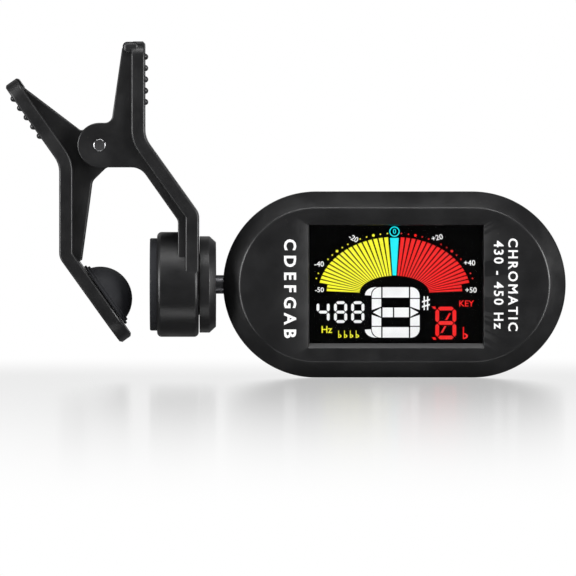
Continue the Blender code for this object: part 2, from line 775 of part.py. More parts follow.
def seat_spring():
    """The wave washer's free ring, between the drum's floor and the cup."""
    start = CUP_FLOOR + SEAM
    profile = [
        (start + WASHER_THICKNESS, CUP_OUTER),
        (start, CUP_OUTER),
        (start, WASHER_HOLE_RADIUS),
        (start + WASHER_THICKNESS, WASHER_HOLE_RADIUS),
    ]
    return turned("seat_spring", profile, steps=28)


def bowl(name, inner, outer, back, front, square):
    """A ring round the ball, spherical inside, and straight or spherical outside."""

    def spherical(radius, along):
        return math.sqrt(radius**2 - (along - BALL_X) ** 2)

    steps = 4
    alongs = [back + (front - back) * step / steps for step in range(steps + 1)]
    inside = [(along, spherical(inner, along)) for along in alongs]
    if square:
        outside = [(front, outer), (back, outer)]
    else:
        outside = [(along, spherical(outer, along)) for along in reversed(alongs)]
    return turned(name, outside + inside, steps=20)


def ball_seat():
    back = CUP_FLOOR + WASHER_THICKNESS + 2 * SEAM
    front = COLLAR_START - SPIGOT_LENGTH - GAP
    return bowl("ball_seat", CUP_INNER, CUP_OUTER, max(back, BALL_X - CUP_REACH_BACK * CUP_INNER), front, True)


def ball_liner():
    back = BALL_X - LINER_REACH_BACK * LINER_INNER
    return bowl("ball_liner", LINER_INNER, LINER_OUTER, back, BALL_X - LINER_SETBACK, False)


def ball_retainer():
    """The collar: a spigot in the drum, a spherical lip in front of the ball, a flared mouth."""
    throat = BALL_X + THROAT_AHEAD
    spigot = COLLAR_START - SPIGOT_LENGTH
    steps = 3
    lips = []
    for step in range(steps + 1):
        along = spigot + (throat - spigot) * step / steps
        lips.append((along, math.sqrt(LINER_INNER**2 - (along - BALL_X) ** 2)))
    throat_radius = lips[-1][1]
    lips[0] = (spigot, LINER_OUTER + SEAM)
    profile = [
        (COLLAR_END, COLLAR_RADIUS - COLLAR_CHAMFER_DEPTH),
        (COLLAR_END - COLLAR_CHAMFER_LENGTH, COLLAR_RADIUS),
        (COLLAR_START, COLLAR_RADIUS),
        (COLLAR_START, CUP_BORE - SEAM),
        (spigot, CUP_BORE - SEAM),
        *lips,
        (COLLAR_END, throat_radius + MOUTH_FLARE),
    ]
    return turned("ball_retainer", profile, steps=48)


def ball_stud():
    """Ball, stem and the flange that the case halves trap, with a bore for the pickup lead."""
    flange = stud_flange_start()
    tail = flange + STUD_FLANGE_LENGTH + STUD_TAIL
    first = math.asin(STEM_RADIUS / BALL_RADIUS)
    last = math.pi - math.asin(STEM_BORE / BALL_RADIUS)
    angles = [first + (last - first) * step / 8 for step in range(9)]
    ball = [(BALL_X + BALL_RADIUS * math.cos(a), BALL_RADIUS * math.sin(a)) for a in angles]
    profile = [
        (tail, STEM_RADIUS),
        (flange + STUD_FLANGE_LENGTH, STEM_RADIUS),
        (flange + STUD_FLANGE_LENGTH, STUD_FLANGE_RADIUS),
        (flange, STUD_FLANGE_RADIUS),
        (flange, STEM_RADIUS),
        *ball,
        (tail, STEM_BORE),
    ]
    return turned("ball_stud", profile, steps=20)


def stud_flange_start():
    return HEAD_START + WALL + GAP


def piezo_lead_drum():
    start = PIEZO_BACK + 2 * PIEZO_THICKNESS + 2 * SEAM
    points = [(start, 0, 0), (BALL_X - BALL_RADIUS - GAP, 0, 0)]
    return wire("piezo_lead_drum", points, LEAD_RADIUS)


def piezo_lead_head():
    """From the stud's bore, straight on to the board's edge."""
    points = [(BALL_X - BALL_RADIUS + STEM_BORE, 0, 0), (board_start() - GAP - LEAD_RADIUS, 0, 0)]
    return wire("piezo_lead_head", points, LEAD_RADIUS)


# Display head


def stadium(inset):
    """The head's outline moved in by an inset: two half circles joined by straight sides."""
    radius = HEAD_RADIUS - inset
    steps = 18
    points = []
    for centre, first in ((RIGHT_CENTRE, -math.pi / 2), (LEFT_CENTRE, math.pi / 2)):
        for step in range(steps + 1):
            angle = first + math.pi * step / steps
            points.append((centre + radius * math.cos(angle), radius * math.sin(angle)))
    return points


def head_block(name, inset, half, bevel, low, high):
    """The slice from low to high of a stadium block whose edges are chamfered."""
    block = prism(name, stadium(inset), -half, half)
    edge = block.modifiers.new("chamfer", "BEVEL")
    edge.width = bevel
    edge.limit_method = "ANGLE"
    edge.angle_limit = math.radians(60)
    reach = HEAD_LENGTH
    start, end = (HEAD_START - reach, low, -reach), (HEAD_END + reach, high, reach)
    keep_inside(block, box(name + "_slice", start, end))
    return block


def screw_places():
    return [(x, z) for x in (LEFT_CENTRE, RIGHT_CENTRE) for z in (BOSS_Z, -BOSS_Z)]


def bosses(name, start, end):
    body = bmesh.new()
    for x, z in screw_places():
        cylinder_body(body, BOSS_RADIUS, (x, start, z), (x, end, z), 20)
    return mesh_object(name, body)


def boss_holes(name, radius, start, end):
    body = bmesh.new()
    for x, z in screw_places():
        cylinder_body(body, radius, (x, start, z), (x, end, z), 16)
    return mesh_object(name, body)


def stud_block(name, low, high):
    """The block behind the head's left end that traps the stud's flange, out to the middle of the wall."""
    bevel = HEAD_BEVEL - (WALL - FACE_WALL) / 2
    block = head_block(name, WALL / 2, HALF_DEPTH - FACE_WALL / 2, bevel, low, high)
    start = (HEAD_START - OVERRUN, -HEAD_DEPTH, -STUD_BLOCK_HALF)
    end = (HEAD_START + STUD_BLOCK_LENGTH, HEAD_DEPTH, STUD_BLOCK_HALF)
    keep_inside(block, box(name + "_limit", start, end))
    return block


def stud_hole(name):
    flange = stud_flange_start() - SEAM
    flange_end = flange + STUD_FLANGE_LENGTH + 2 * SEAM
    profile = [
        (HEAD_START + STUD_BLOCK_LENGTH + OVERRUN, 0),
        (HEAD_START + STUD_BLOCK_LENGTH + OVERRUN, STEM_RADIUS + GAP),
        (flange_end, STEM_RADIUS + GAP),
        (flange_end, STUD_FLANGE_RADIUS + GAP),
        (flange, STUD_FLANGE_RADIUS + GAP),
        (flange, STEM_RADIUS + SEAM),
        (HEAD_START - OVERRUN, STEM_RADIUS + SEAM),
        (HEAD_START - OVERRUN, 0),
    ]
    return turned(name, profile, steps=32)


def window_cutter():
    """A funnel with a broad slope below and steep sides, which then drops through the wall."""
    body = bmesh.new()
    outer, inner = -HALF_DEPTH, -HALF_DEPTH + WINDOW_SLOPE_DEPTH
    rings = [(outer - OVERRUN, -OVERRUN / WINDOW_SLOPE_DEPTH), (inner, 1.0), (-INNER_DEPTH + OVERRUN, 1.0)]
    loops = []
    for y, share in rings:
        side = share * WINDOW_SIDE_SLOPE
        low_x, high_x = WINDOW_START + side, WINDOW_END - side
        low_z, high_z = -WINDOW_BOTTOM + share * WINDOW_SLOPE, WINDOW_TOP - side
        corners = [(low_x, low_z), (high_x, low_z), (high_x, high_z), (low_x, high_z)]
        loops.append([body.verts.new((x, y, z)) for x, z in corners])
    for before, after in zip(loops, loops[1:]):
        for index in range(4):
            following = (index + 1) % 4
            body.faces.new((before[index], before[following], after[following], after[index]))
    body.faces.new(loops[0])
    body.faces.new(loops[-1])
    return mesh_object("window_cutter", body)


def front_case():
    case = head_block("front_case", 0, HALF_DEPTH, HEAD_BEVEL, -2 * HALF_DEPTH, -SEAM / 2)
    bevel = HEAD_BEVEL - WALL + FACE_WALL
    cut(case, head_block("front_hollow", WALL, INNER_DEPTH, bevel, -2 * HALF_DEPTH, OVERRUN))
    add(case, bosses("front_bosses", -INNER_DEPTH - FACE_WALL / 2, -SEAM))
    add(case, stud_block("front_stud_block", -HEAD_DEPTH, -SEAM / 2))
    cut(case, stud_hole("front_stud_hole"), window_cutter())
    cut(case, boss_holes("front_pilots", SCREW_SHANK_RADIUS + GAP, -INNER_DEPTH + GAP, OVERRUN))
    return case


def door_outline():
    """The battery door's slice of the head's rear, from its finger edge to past the end."""
    return (DOOR_START, HEAD_END + OVERRUN)


def rear_case():
    case = head_block("rear_case", 0, HALF_DEPTH, HEAD_BEVEL, SEAM / 2, 2 * HALF_DEPTH)
    bevel = HEAD_BEVEL - WALL + FACE_WALL
    cut(case, head_block("rear_hollow", WALL, INNER_DEPTH, bevel, -OVERRUN, 2 * HALF_DEPTH))
    start, end = door_outline()
    radius = HEAD_RADIUS - HEAD_BEVEL - GAP
    deck = rounded(
        [
            (start - WALL, -radius, 0),
            (RIGHT_CENTRE + radius, -radius, radius),
            (RIGHT_CENTRE + radius, radius, radius),
            (start - WALL, radius, 0),
        ]
    )
    add(case, prism("battery_deck", deck, DOOR_FLOOR - DECK_THICKNESS, INNER_DEPTH + FACE_WALL / 2))
    add(case, bosses("rear_bosses", SEAM, INNER_DEPTH + FACE_WALL / 2))
    add(case, stud_block("rear_stud_block", SEAM / 2, HEAD_DEPTH))
    cut(case, stud_hole("rear_stud_hole"))
    groove_half = DOOR_HALF + DOOR_TONGUE
    groove_top = HALF_DEPTH - DOOR_LIP
    cut(case, box("door_groove", (start, DOOR_FLOOR, -groove_half), (end, groove_top, groove_half)))
    cut(case, box("door_gap", (start, DOOR_FLOOR + SEAM, -DOOR_HALF), (end, HALF_DEPTH + OVERRUN, DOOR_HALF)))
    centre = (RIGHT_CENTRE, 0, 0)
    cell_end = (RIGHT_CENTRE, HALF_DEPTH + OVERRUN, 0)
    cut(case, cylinder("cell_hole", CELL_RADIUS + GAP, centre, cell_end, 40))
    notch_half = CONTACT_HALF_WIDTH + GAP
    notch_x = RIGHT_CENTRE - CELL_RADIUS
    notch_start = (notch_x - CELL_HOLE_LAP - GAP, 0, -notch_half)
    notch_end = (notch_x + CELL_HOLE_LAP, HALF_DEPTH - SEAM, notch_half)
    cut(case, box("contact_notch", notch_start, notch_end))
    shank = SCREW_SHANK_RADIUS + GAP
    cut(case, boss_holes("screw_holes", shank, -OVERRUN, HALF_DEPTH))
    head_floor = HALF_DEPTH - SCREW_SUNK - SCREW_HEAD_HEIGHT - SEAM
    cut(case, boss_holes("screw_recesses", SCREW_HEAD_RADIUS + SEAM, head_floor, HALF_DEPTH + OVERRUN))
    for index, z in enumerate(button_heights()):
        hole = (BUTTON_X, INNER_DEPTH - OVERRUN, z), (BUTTON_X, HALF_DEPTH + OVERRUN, z)
        cut(case, cylinder(f"button_hole_{index}", BUTTON_RADIUS + SLIDE, *hole, 28))
    return case


def battery_door():
    """The rear's sliding cover: its end carries on the case's chamfer, its tongues run in grooves."""
    door = head_block("battery_door", 0, HALF_DEPTH, HEAD_BEVEL, DOOR_INNER, 2 * HALF_DEPTH)
    start, end = door_outline()
    half = DOOR_HALF - SLIDE
    tongue = DOOR_HALF + DOOR_TONGUE - SLIDE
    far = HALF_DEPTH + OVERRUN
    shape = box("door_width", (start + SLIDE, -far, -half), (end, far, half))
    tongue_back = HALF_DEPTH - DOOR_LIP - SLIDE
    add(shape, box("door_tongues", (start + SLIDE, -far, -tongue), (end - OVERRUN / 2, tongue_back, tongue)))
    keep_inside(door, shape)
    for index in range(FINGER_GROOVES):
        x = start + FINGER_GROOVE_START + FINGER_GROOVE_PITCH * index
        groove = (x, HALF_DEPTH, -FINGER_GROOVE_HALF), (x, HALF_DEPTH, FINGER_GROOVE_HALF)
        cut(door, cylinder(f"finger_groove_{index}", FINGER_GROOVE_RADIUS, *groove, 10))
    return door


def button_heights():
    return [BUTTON_PITCH, 0.0, -BUTTON_PITCH]


def window_lens():
    side = LENS_LAP - WINDOW_SIDE_SLOPE
    low_x, high_x = WINDOW_START - side, WINDOW_END + side
    low_z = -WINDOW_BOTTOM + WINDOW_SLOPE - LENS_LAP
    high_z = WINDOW_TOP + side
    return box("window_lens", (low_x, LENS_FRONT, low_z), (high_x, LENS_BACK, high_z))


def lcd_box(name, front, back):
    low = (WINDOW_START, front, -WINDOW_BOTTOM + WINDOW_SLOPE)
    return box(name, low, (WINDOW_END, back, WINDOW_TOP))


def lcd_frame():
    low_x, high_x = WINDOW_START - GAP, WINDOW_END + GAP
    low_z = -WINDOW_BOTTOM + WINDOW_SLOPE - GAP
    high_z = WINDOW_TOP + GAP
    wall = FRAME_WALL
    frame = box(
        "lcd_frame",
        (low_x - wall, LCD_FRONT, max(low_z - wall, -BOSS_Z + BOSS_RADIUS)),
        (high_x + wall, LIGHT_BACK, min(high_z + wall, BOSS_Z - BOSS_RADIUS) - SEAM),
    )
    cut(frame, box("frame_hole", (low_x, -HALF_DEPTH, low_z), (high_x, HALF_DEPTH, high_z)))
    return frame


def board_start():
    return HEAD_START + STUD_BLOCK_LENGTH + 2 * GAP


def circuit_board():
    half = BOSS_Z - BOSS_RADIUS - GAP
    outline = rounded(
        [
            (board_start(), -half, BOARD_CORNER),
            (HEAD_END, -half, 0),
            (HEAD_END, half, 0),
            (board_start(), half, BOARD_CORNER),
        ]
    )
    board = prism("circuit_board", outline, BOARD_FRONT, BOARD_BACK)
    keep_inside(board, prism("board_limit", stadium(BOARD_INSET), -HALF_DEPTH, HALF_DEPTH))
    return board


def main_chip():
    x = BUTTON_X + SWITCH_HALF + CHIP_FROM_SWITCH
    back = BOARD_BACK + SEAM
    half = CHIP_SIDE / 2
    return box("main_chip", (x, back, -half), (x + CHIP_SIDE, back + CHIP_HEIGHT, half))


def crystal():
    x = BUTTON_X + SWITCH_HALF + CHIP_FROM_SWITCH + CHIP_SIDE / 2
    half = CRYSTAL_LENGTH / 2
    back = BOARD_BACK + SEAM + CRYSTAL_RADIUS
    ends = (x - half, back, CRYSTAL_Z), (x + half, back, CRYSTAL_Z)
    return cylinder("crystal", CRYSTAL_RADIUS, *ends, 16)


def lcd_connector():
    back = BOARD_FRONT - SEAM
    x = WINDOW_START + CONNECTOR_INSET
    z = -WINDOW_BOTTOM + WINDOW_SLOPE
    high = (WINDOW_END - CONNECTOR_INSET, back, z + CONNECTOR_DEPTH)
    return box("lcd_connector", (x, LCD_BACK + SEAM, z), high)


def backlight():
    low = (WINDOW_START, LIGHT_FRONT, -WINDOW_BOTTOM + WINDOW_SLOPE + CONNECTOR_DEPTH + GAP)
    return box("backlight", low, (WINDOW_END, LIGHT_BACK, WINDOW_TOP))


def coin_cell():
    """The cell: its wide can faces the door, and its smaller cap faces the board."""
    step = CELL_STEP
    edge = CELL_EDGE
    profile = [
        (CELL_THICKNESS, 0),
        (CELL_THICKNESS, CELL_RADIUS - edge),
        (CELL_THICKNESS - edge, CELL_RADIUS),
        (step + edge, CELL_RADIUS),
        (step, CELL_RADIUS - edge),
        (step, CELL_RADIUS - CELL_CAP_INSET),
        (0, CELL_RADIUS - CELL_CAP_INSET - edge),
        (0, 0),
    ]
    return turned("coin_cell", profile, (RIGHT_CENTRE, CELL_FRONT, 0), (0, 1, 0), steps=40)


def contact_minus():
    half = CONTACT_HALF_WIDTH
    front = BOARD_BACK + SEAM
    reach = CONTACT_HALF_LENGTH
    low = (RIGHT_CENTRE - reach, front, -half)
    return box("contact_minus", low, (RIGHT_CENTRE + reach, front + CONTACT_THICKNESS, half))


def contact_plus():
    """A leaf that stands beside the cell, between its rim and the notch in the deck."""
    half = CONTACT_HALF_WIDTH
    x = RIGHT_CENTRE - CELL_RADIUS - SLIDE
    low = (x - CONTACT_THICKNESS, BOARD_BACK + SEAM, -half)
    return box("contact_plus", low, (x, CELL_BACK - GAP, half))


def button_set(name, z):
    """A button cap with its flange, the plunger under it, and the switch on the board."""
    front = PLUNGER_BACK + SEAM
    edge = BUTTON_EDGE
    back = HALF_DEPTH + BUTTON_PROUD
    profile = [
        (back, 0),
        (back, BUTTON_RADIUS - edge),
        (back - edge, BUTTON_RADIUS),
        (front + BUTTON_FLANGE, BUTTON_RADIUS),
        (front + BUTTON_FLANGE, BUTTON_RADIUS + BUTTON_FLANGE),
        (front, BUTTON_RADIUS + BUTTON_FLANGE),
        (front, 0),
    ]
    cap = turned(f"{name}_button", profile, (BUTTON_X, 0, z), (0, 1, 0), steps=28)
    ends = (BUTTON_X, PLUNGER_FRONT, z), (BUTTON_X, PLUNGER_BACK, z)
    plunger = cylinder(f"{name}_plunger", PLUNGER_RADIUS, *ends, 16)
    side = SWITCH_HALF
    low = (BUTTON_X - side, BOARD_BACK + SEAM, z - side)
    switch = box(f"{name}_switch", low, (BUTTON_X + side, SWITCH_BACK, z + side))
    return cap, plunger, switch


def case_screw(name, x, z):
    back = HALF_DEPTH - SCREW_SUNK
    neck = back - SCREW_HEAD_HEIGHT
    tip = -INNER_DEPTH + 2 * GAP
    cross = SCREW_HEAD_HEIGHT / 2
    profile = [
        (back - cross, 0),
        (back - cross, 0.3 * SCREW_HEAD_RADIUS),
        (back, 0.45 * SCREW_HEAD_RADIUS),
        (back - SEAM / 2, 0.85 * SCREW_HEAD_RADIUS),
        (back - 2 * SEAM, SCREW_HEAD_RADIUS),
        (neck, SCREW_HEAD_RADIUS),
        (neck, SCREW_SHANK_RADIUS),
        (tip + SCREW_SHANK_RADIUS, SCREW_SHANK_RADIUS),
        (tip, 0.3 * SCREW_SHANK_RADIUS),
        (tip, 0),
    ]
    return turned(name, profile, (x, 0, z), (0, 1, 0), steps=16)


def build():
    clear_scene()
    base = axis_empty("clip_root", (0, 0, 0))
    jaw = axis_empty("jaw_axis", (PIVOT_X, 0, PIVOT_Z), base)
    ball = axis_empty("ball_centre", (BALL_X, 0, 0), base)
    settle(drum_arm(), "black_plastic", base)
    settle(drum_pad(), "black_rubber", base)
    settle(pivot_pin(), "steel", base)
    settle(torsion_spring(), "steel", base)
    settle(piezo_disc(), "brass", base)
    settle(piezo_ceramic(), "ceramic", base)
    settle(piezo_lead_drum(), "lead_red", base)
    settle(seat_spring(), "steel", base)
    settle(ball_retainer(), "black_plastic", base)
    settle(jaw_lever(), "black_plastic", jaw)
    settle(jaw_pad(), "black_rubber", jaw)
    settle(ball_seat(), "nylon", ball)
    settle(ball_liner(), "nylon", ball)
    settle(ball_stud(), "dark_zinc", ball)
    settle(piezo_lead_head(), "lead_red", ball)
    settle(front_case(), "black_plastic", ball)
    settle(rear_case(), "black_plastic", ball)
    settle(window_lens(), "clear_plastic", ball)
    settle(lcd_box("lcd_panel", LCD_FRONT, LCD_BACK), "display_glass", ball)
    settle(backlight(), "white_plastic", ball)
    settle(lcd_frame(), "white_plastic", ball)
    settle(lcd_connector(), "black_rubber", ball)
    settle(circuit_board(), "circuit_green", ball)
    settle(main_chip(), "chip_black", ball)
    settle(crystal(), "steel", ball)
    settle(contact_plus(), "steel", ball)
    settle(contact_minus(), "steel", ball)
    settle(coin_cell(), "steel", ball)
    settle(battery_door(), "black_plastic", ball)
    for name, z in zip(("power", "mode", "pitch"), button_heights()):
        cap, plunger, switch = button_set(name, z)
        press = axis_empty(f"{name}_press", (BUTTON_X, HALF_DEPTH, z), ball)
        settle(cap, "black_rubber", press)
        settle(plunger, "white_plastic", press)
        settle(switch, "chip_black", ball)
    for index, (x, z) in enumerate(screw_places(), start=1):
        settle(case_screw(f"case_screw_{index}", x, z), "steel", ball)


build()
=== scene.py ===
import json
import math

import bpy
import numpy as np
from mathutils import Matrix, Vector


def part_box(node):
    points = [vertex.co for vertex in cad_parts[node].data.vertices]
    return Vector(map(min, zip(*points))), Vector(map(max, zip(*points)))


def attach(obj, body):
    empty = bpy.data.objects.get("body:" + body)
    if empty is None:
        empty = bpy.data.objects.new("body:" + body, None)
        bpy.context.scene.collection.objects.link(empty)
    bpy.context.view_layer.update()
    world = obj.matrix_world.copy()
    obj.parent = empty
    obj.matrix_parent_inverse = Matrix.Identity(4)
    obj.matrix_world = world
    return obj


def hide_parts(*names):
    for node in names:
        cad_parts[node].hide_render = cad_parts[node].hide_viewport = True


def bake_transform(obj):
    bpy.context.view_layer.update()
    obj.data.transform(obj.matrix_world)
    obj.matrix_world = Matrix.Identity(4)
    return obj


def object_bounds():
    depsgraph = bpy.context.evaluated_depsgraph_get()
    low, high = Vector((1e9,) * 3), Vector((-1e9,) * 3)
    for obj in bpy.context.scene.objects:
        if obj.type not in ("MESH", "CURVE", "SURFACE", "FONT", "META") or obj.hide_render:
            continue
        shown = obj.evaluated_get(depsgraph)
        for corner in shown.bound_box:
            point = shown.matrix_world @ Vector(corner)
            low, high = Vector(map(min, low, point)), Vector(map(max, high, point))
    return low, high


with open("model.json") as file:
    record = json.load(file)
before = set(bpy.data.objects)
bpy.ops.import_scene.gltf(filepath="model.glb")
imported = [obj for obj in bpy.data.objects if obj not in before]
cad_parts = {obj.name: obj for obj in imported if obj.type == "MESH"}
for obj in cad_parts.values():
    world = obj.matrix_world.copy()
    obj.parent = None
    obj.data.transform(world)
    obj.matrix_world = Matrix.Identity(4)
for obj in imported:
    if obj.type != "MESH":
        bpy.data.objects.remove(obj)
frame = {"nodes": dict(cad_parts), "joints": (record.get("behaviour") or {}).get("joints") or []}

bl_info = {
    "name": "Clip-on Tuner",
    "version": (1, 0, 0),
    "blender": (4, 5, 0),
    "location": "View3D > Sidebar > Tuner",
    "description": "Builds the looks of a clip-on tuner round its fixed model",
    "category": "Add Mesh",
}

CAD_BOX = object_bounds()
MM = 0.001


def joint_place(name):
    """Where a joint's axis passes, in metres."""
    for joint in frame["joints"]:
        if joint["name"] == name:
            return Vector(joint["pos_m"])
    raise ValueError(f"no joint is named {name}")


def low(node):
    return Vector(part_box(node)[0])


def high(node):
    return Vector(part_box(node)[1])


# Places read from the fixed model
PIVOT = joint_place("clip_pivot")
BALL = joint_place("ball_nod")
HEAD_LOW, HEAD_HIGH = low("front_case"), high("rear_case")
HEAD_RADIUS = (HEAD_HIGH.z - HEAD_LOW.z) / 2
HEAD_MIDDLE_Z = (HEAD_HIGH.z + HEAD_LOW.z) / 2
LEFT_CENTRE = HEAD_LOW.x + HEAD_RADIUS
RIGHT_CENTRE = HEAD_HIGH.x - HEAD_RADIUS
FACE_Y = HEAD_LOW.y
REAR_Y = HEAD_HIGH.y
DRUM_START = 1.24 * MM
DRUM_END = 8.53 * MM
DRUM_RADIUS = high("drum_arm").y
ARM_TOP = high("drum_arm").z
CUP_BORE = 5.5 * MM
SLOPE = math.radians(35.6)
GRIP_TILT = math.radians(35.2)


# Arrays and meshes


def mesh_piece(name, points, faces, body, smooth=35.0):
    """A piece from arrays of points and faces, riding on a body, shaded smooth up to an angle."""
    mesh = bpy.data.meshes.new(name)
    mesh.from_pydata(np.asarray(points, float).reshape(-1, 3).tolist(), [], faces)
    mesh.update()
    return finish_piece(name, mesh, body, smooth)


def finish_piece(name, mesh, body, smooth=35.0):
    piece = bpy.data.objects.new(name, mesh)
    bpy.context.scene.collection.objects.link(piece)
    mesh.shade_smooth()
    mesh.set_sharp_from_angle(angle=math.radians(smooth))
    fold_marks(mesh)
    if body:
        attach(piece, body)
    return piece


def grid_faces(rows, columns, wrap_rows=False, wrap_columns=True):
    """Quads of a grid of rows by columns, each either open or closed on itself."""
    last_row = rows if wrap_rows else rows - 1
    last_column = columns if wrap_columns else columns - 1
    i, j = np.meshgrid(np.arange(last_row), np.arange(last_column), indexing="ij")
    below, beside = (i + 1) % rows, (j + 1) % columns
    quads = np.stack(
        [i * columns + j, i * columns + beside, below * columns + beside, below * columns + j],
        axis=-1,
    )
    return quads.reshape(-1, 4)


def end_faces(rows, columns):
    """The two faces that close a grid's first and last row, turned the same way as its quads."""
    last = (rows - 1) * columns
    return [tuple(reversed(range(columns))), tuple(range(last, last + columns))]


def outward(points, faces):
    """The faces turned so that the closed surface holds a positive volume."""
    points = np.asarray(points)
    volume = 0.0
    for face in faces:
        corners = points[list(face)]
        volume += np.einsum("i,ni->", corners[0], np.cross(corners[1:-1], corners[2:]))
    return faces if volume > 0 else [tuple(reversed(face)) for face in faces]


def arc(start, end, count):
    """Angles from start to end in degrees, as an array of radians."""
    return np.radians(np.linspace(start, end, count))


def rounded_outline(corners, step=6.0):
    """Corners (a, b, radius) joined by straight sides, each corner an arc tangent to its two sides."""
    places = np.array([corner[:2] for corner in corners], float)
    result = []
    for index, (_, _, radius) in enumerate(corners):
        here = places[index]
        back = places[index - 1] - here
        ahead = places[(index + 1) % len(corners)] - here
        back, ahead = back / np.linalg.norm(back), ahead / np.linalg.norm(ahead)
        turn = math.acos(np.clip(back @ ahead, -1, 1))
        if radius == 0 or math.pi - turn < 1e-3:
            result.append(here[None])
            continue
        centre = here + (back + ahead) / np.linalg.norm(back + ahead) * radius / math.sin(turn / 2)
        first = here + back * radius / math.tan(turn / 2) - centre
        last = here + ahead * radius / math.tan(turn / 2) - centre
        sweep = math.pi - turn
        t = np.linspace(0, 1, max(3, round(math.degrees(sweep) / step)))[:, None]
        curve = first * np.sin((1 - t) * sweep) + last * np.sin(t * sweep)
        result.append(centre + curve / math.sin(sweep))
    points = np.concatenate(result)
    gap = np.linalg.norm(points - np.roll(points, 1, axis=0), axis=1)
    return points[gap > 1e-6]


def inset_outline(outline, distance):
    """Each point moved in by a distance, along the mitre of its two sides. The outline runs anticlockwise."""
    before = outline - np.roll(outline, 1, axis=0)
    after = np.roll(outline, -1, axis=0) - outline
    before = before / np.linalg.norm(before, axis=1)[:, None]
    after = after / np.linalg.norm(after, axis=1)[:, None]
    side = np.stack([-before[:, 1] - after[:, 1], before[:, 0] + after[:, 0]], axis=1)
    side = side / np.linalg.norm(side, axis=1)[:, None]
    mitre = side[:, 0] * -before[:, 1] + side[:, 1] * before[:, 0]
    return outline + side * (distance / np.maximum(mitre, 0.5))[:, None]


def anticlockwise(outline):
    x, z = outline[:, 0], outline[:, 1]
    area = np.sum(x * np.roll(z, -1) - z * np.roll(x, -1))
    return outline if area > 0 else outline[::-1]


def slab(outline, start, end, rounding, steps=3):
    """A flat outline (a, b) with a thickness along c: its rim follows a quarter circle at each face.

    Returns points (a, c, b) and faces."""
    outline = anticlockwise(outline)
    turn = np.linspace(0, math.pi / 2, steps + 1) if rounding else np.array([math.pi / 2])
    insets = rounding * (1 - np.sin(turn))
    depths = rounding * (1 - np.cos(turn))
    rows = [(inset, start + depth) for inset, depth in zip(insets, depths)]
    rows += [(inset, end - depth) for inset, depth in zip(insets[::-1], depths[::-1])]
    rings = []
    for inset, level in rows:
        ring = inset_outline(outline, inset)
        rings.append(np.stack([ring[:, 0], np.full(len(ring), level), ring[:, 1]], axis=1))
    columns = len(outline)
    faces = [tuple(face) for face in grid_faces(len(rings), columns)]
    faces += end_faces(len(rings), columns)
    points = np.concatenate(rings)
    return points, outward(points, faces)


def turned(profile, origin, axis, count=96):
    """A closed or pole-to-pole profile of (along the axis, radius), carried round the axis."""
    profile = np.asarray(profile, float)
    along, radius = profile[:, 0], profile[:, 1]
    axis = Vector(axis).normalized()
    side = axis.orthogonal().normalized()
    frame_axes = np.array([axis, side, axis.cross(side)])
    angle = np.linspace(0, 2 * math.pi, count, endpoint=False)
    poles = radius[0] < 1e-9 and radius[-1] < 1e-9
    inner = slice(1, -1) if poles else slice(None)
    a, r = along[inner, None], radius[inner, None]
    local = np.stack([a + 0 * angle, r * np.cos(angle), r * np.sin(angle)], axis=-1)
    rows = local.shape[0]
    local = local.reshape(-1, 3)
    faces = [tuple(face) for face in grid_faces(rows, count, wrap_rows=not poles)]
    if poles:
        local = np.concatenate([local, [[along[0], 0, 0], [along[-1], 0, 0]]])
        first, last = rows * count, rows * count + 1
        for j in range(count):
            beside = (j + 1) % count
            faces.append((beside, j, first))
            faces.append(((rows - 1) * count + j, (rows - 1) * count + beside, last))
    points = local @ frame_axes + np.array(origin)
    return points, outward(points, faces)


def soft_profile(corners, step=10.0):
    """A profile of (along, radius, rounding) corners, whose first and last stay sharp when on the axis."""
    return rounded_outline(corners, step)


def tube(route, radius, sides=16):
    """A round wire: a circle carried along a route, square to it, with flat ends."""
    route = np.asarray(route, float)
    way = np.gradient(route, axis=0)
    way = way / np.linalg.norm(way, axis=1)[:, None]
    side = np.cross(way, [0.13, 1.0, 0.07])
    side = side / np.linalg.norm(side, axis=1)[:, None]
    other = np.cross(way, side)
    angle = np.linspace(0, 2 * math.pi, sides, endpoint=False)
    ring = side[:, None] * np.cos(angle)[:, None] + other[:, None] * np.sin(angle)[:, None]
    points = (route[:, None] + radius * ring).reshape(-1, 3)
    faces = [tuple(face) for face in grid_faces(len(route), sides)]
    faces += end_faces(len(route), sides)
    return points, outward(points, faces)


def joined(name, shapes, cutters, body, smooth=35.0):
    """Closed shapes united into one skin, less the cutters, by exact Booleans that are then applied."""
    made = []
    for index, (points, faces) in enumerate(list(shapes) + list(cutters)):
        mesh = bpy.data.meshes.new(f"{name}_{index}")
        mesh.from_pydata(np.asarray(points).tolist(), [], faces)
        part = bpy.data.objects.new(f"{name}_{index}", mesh)
        bpy.context.scene.collection.objects.link(part)
        made.append(part)
    base = made[0]
    for index, part in enumerate(made[1:], start=1):
        step = base.modifiers.new(part.name, "BOOLEAN")
        step.operation = "UNION" if index < len(shapes) else "DIFFERENCE"
        step.object = part
    bpy.context.view_layer.update()
    graph = bpy.context.evaluated_depsgraph_get()
    mesh = bpy.data.meshes.new_from_object(base.evaluated_get(graph))
    mesh.name = name
    for part in made:
        bpy.data.objects.remove(part)
    if not mesh.polygons:
        raise RuntimeError(f"{name}: the Booleans left nothing")
    return finish_piece(name, mesh, body, smooth)


def bent_path(corners, step=5.0):
    """An open path through (x, z, radius) corners with its bends as arcs, in even short steps."""
    start, end = np.array(corners[0][:2]), np.array(corners[-1][:2])
    loop = [*corners, (end[0] - 1.0, end[1] - 3.0, 0), (start[0] - 1.0, start[1] + 3.0, 0)]
    points = rounded_outline(loop, step)
    first = int(np.argmin(np.linalg.norm(points - start, axis=1)))
    last = int(np.argmin(np.linalg.norm(points - end, axis=1)))
    points = points[first : last + 1]
    return even_steps(points, 0.4 * MM)


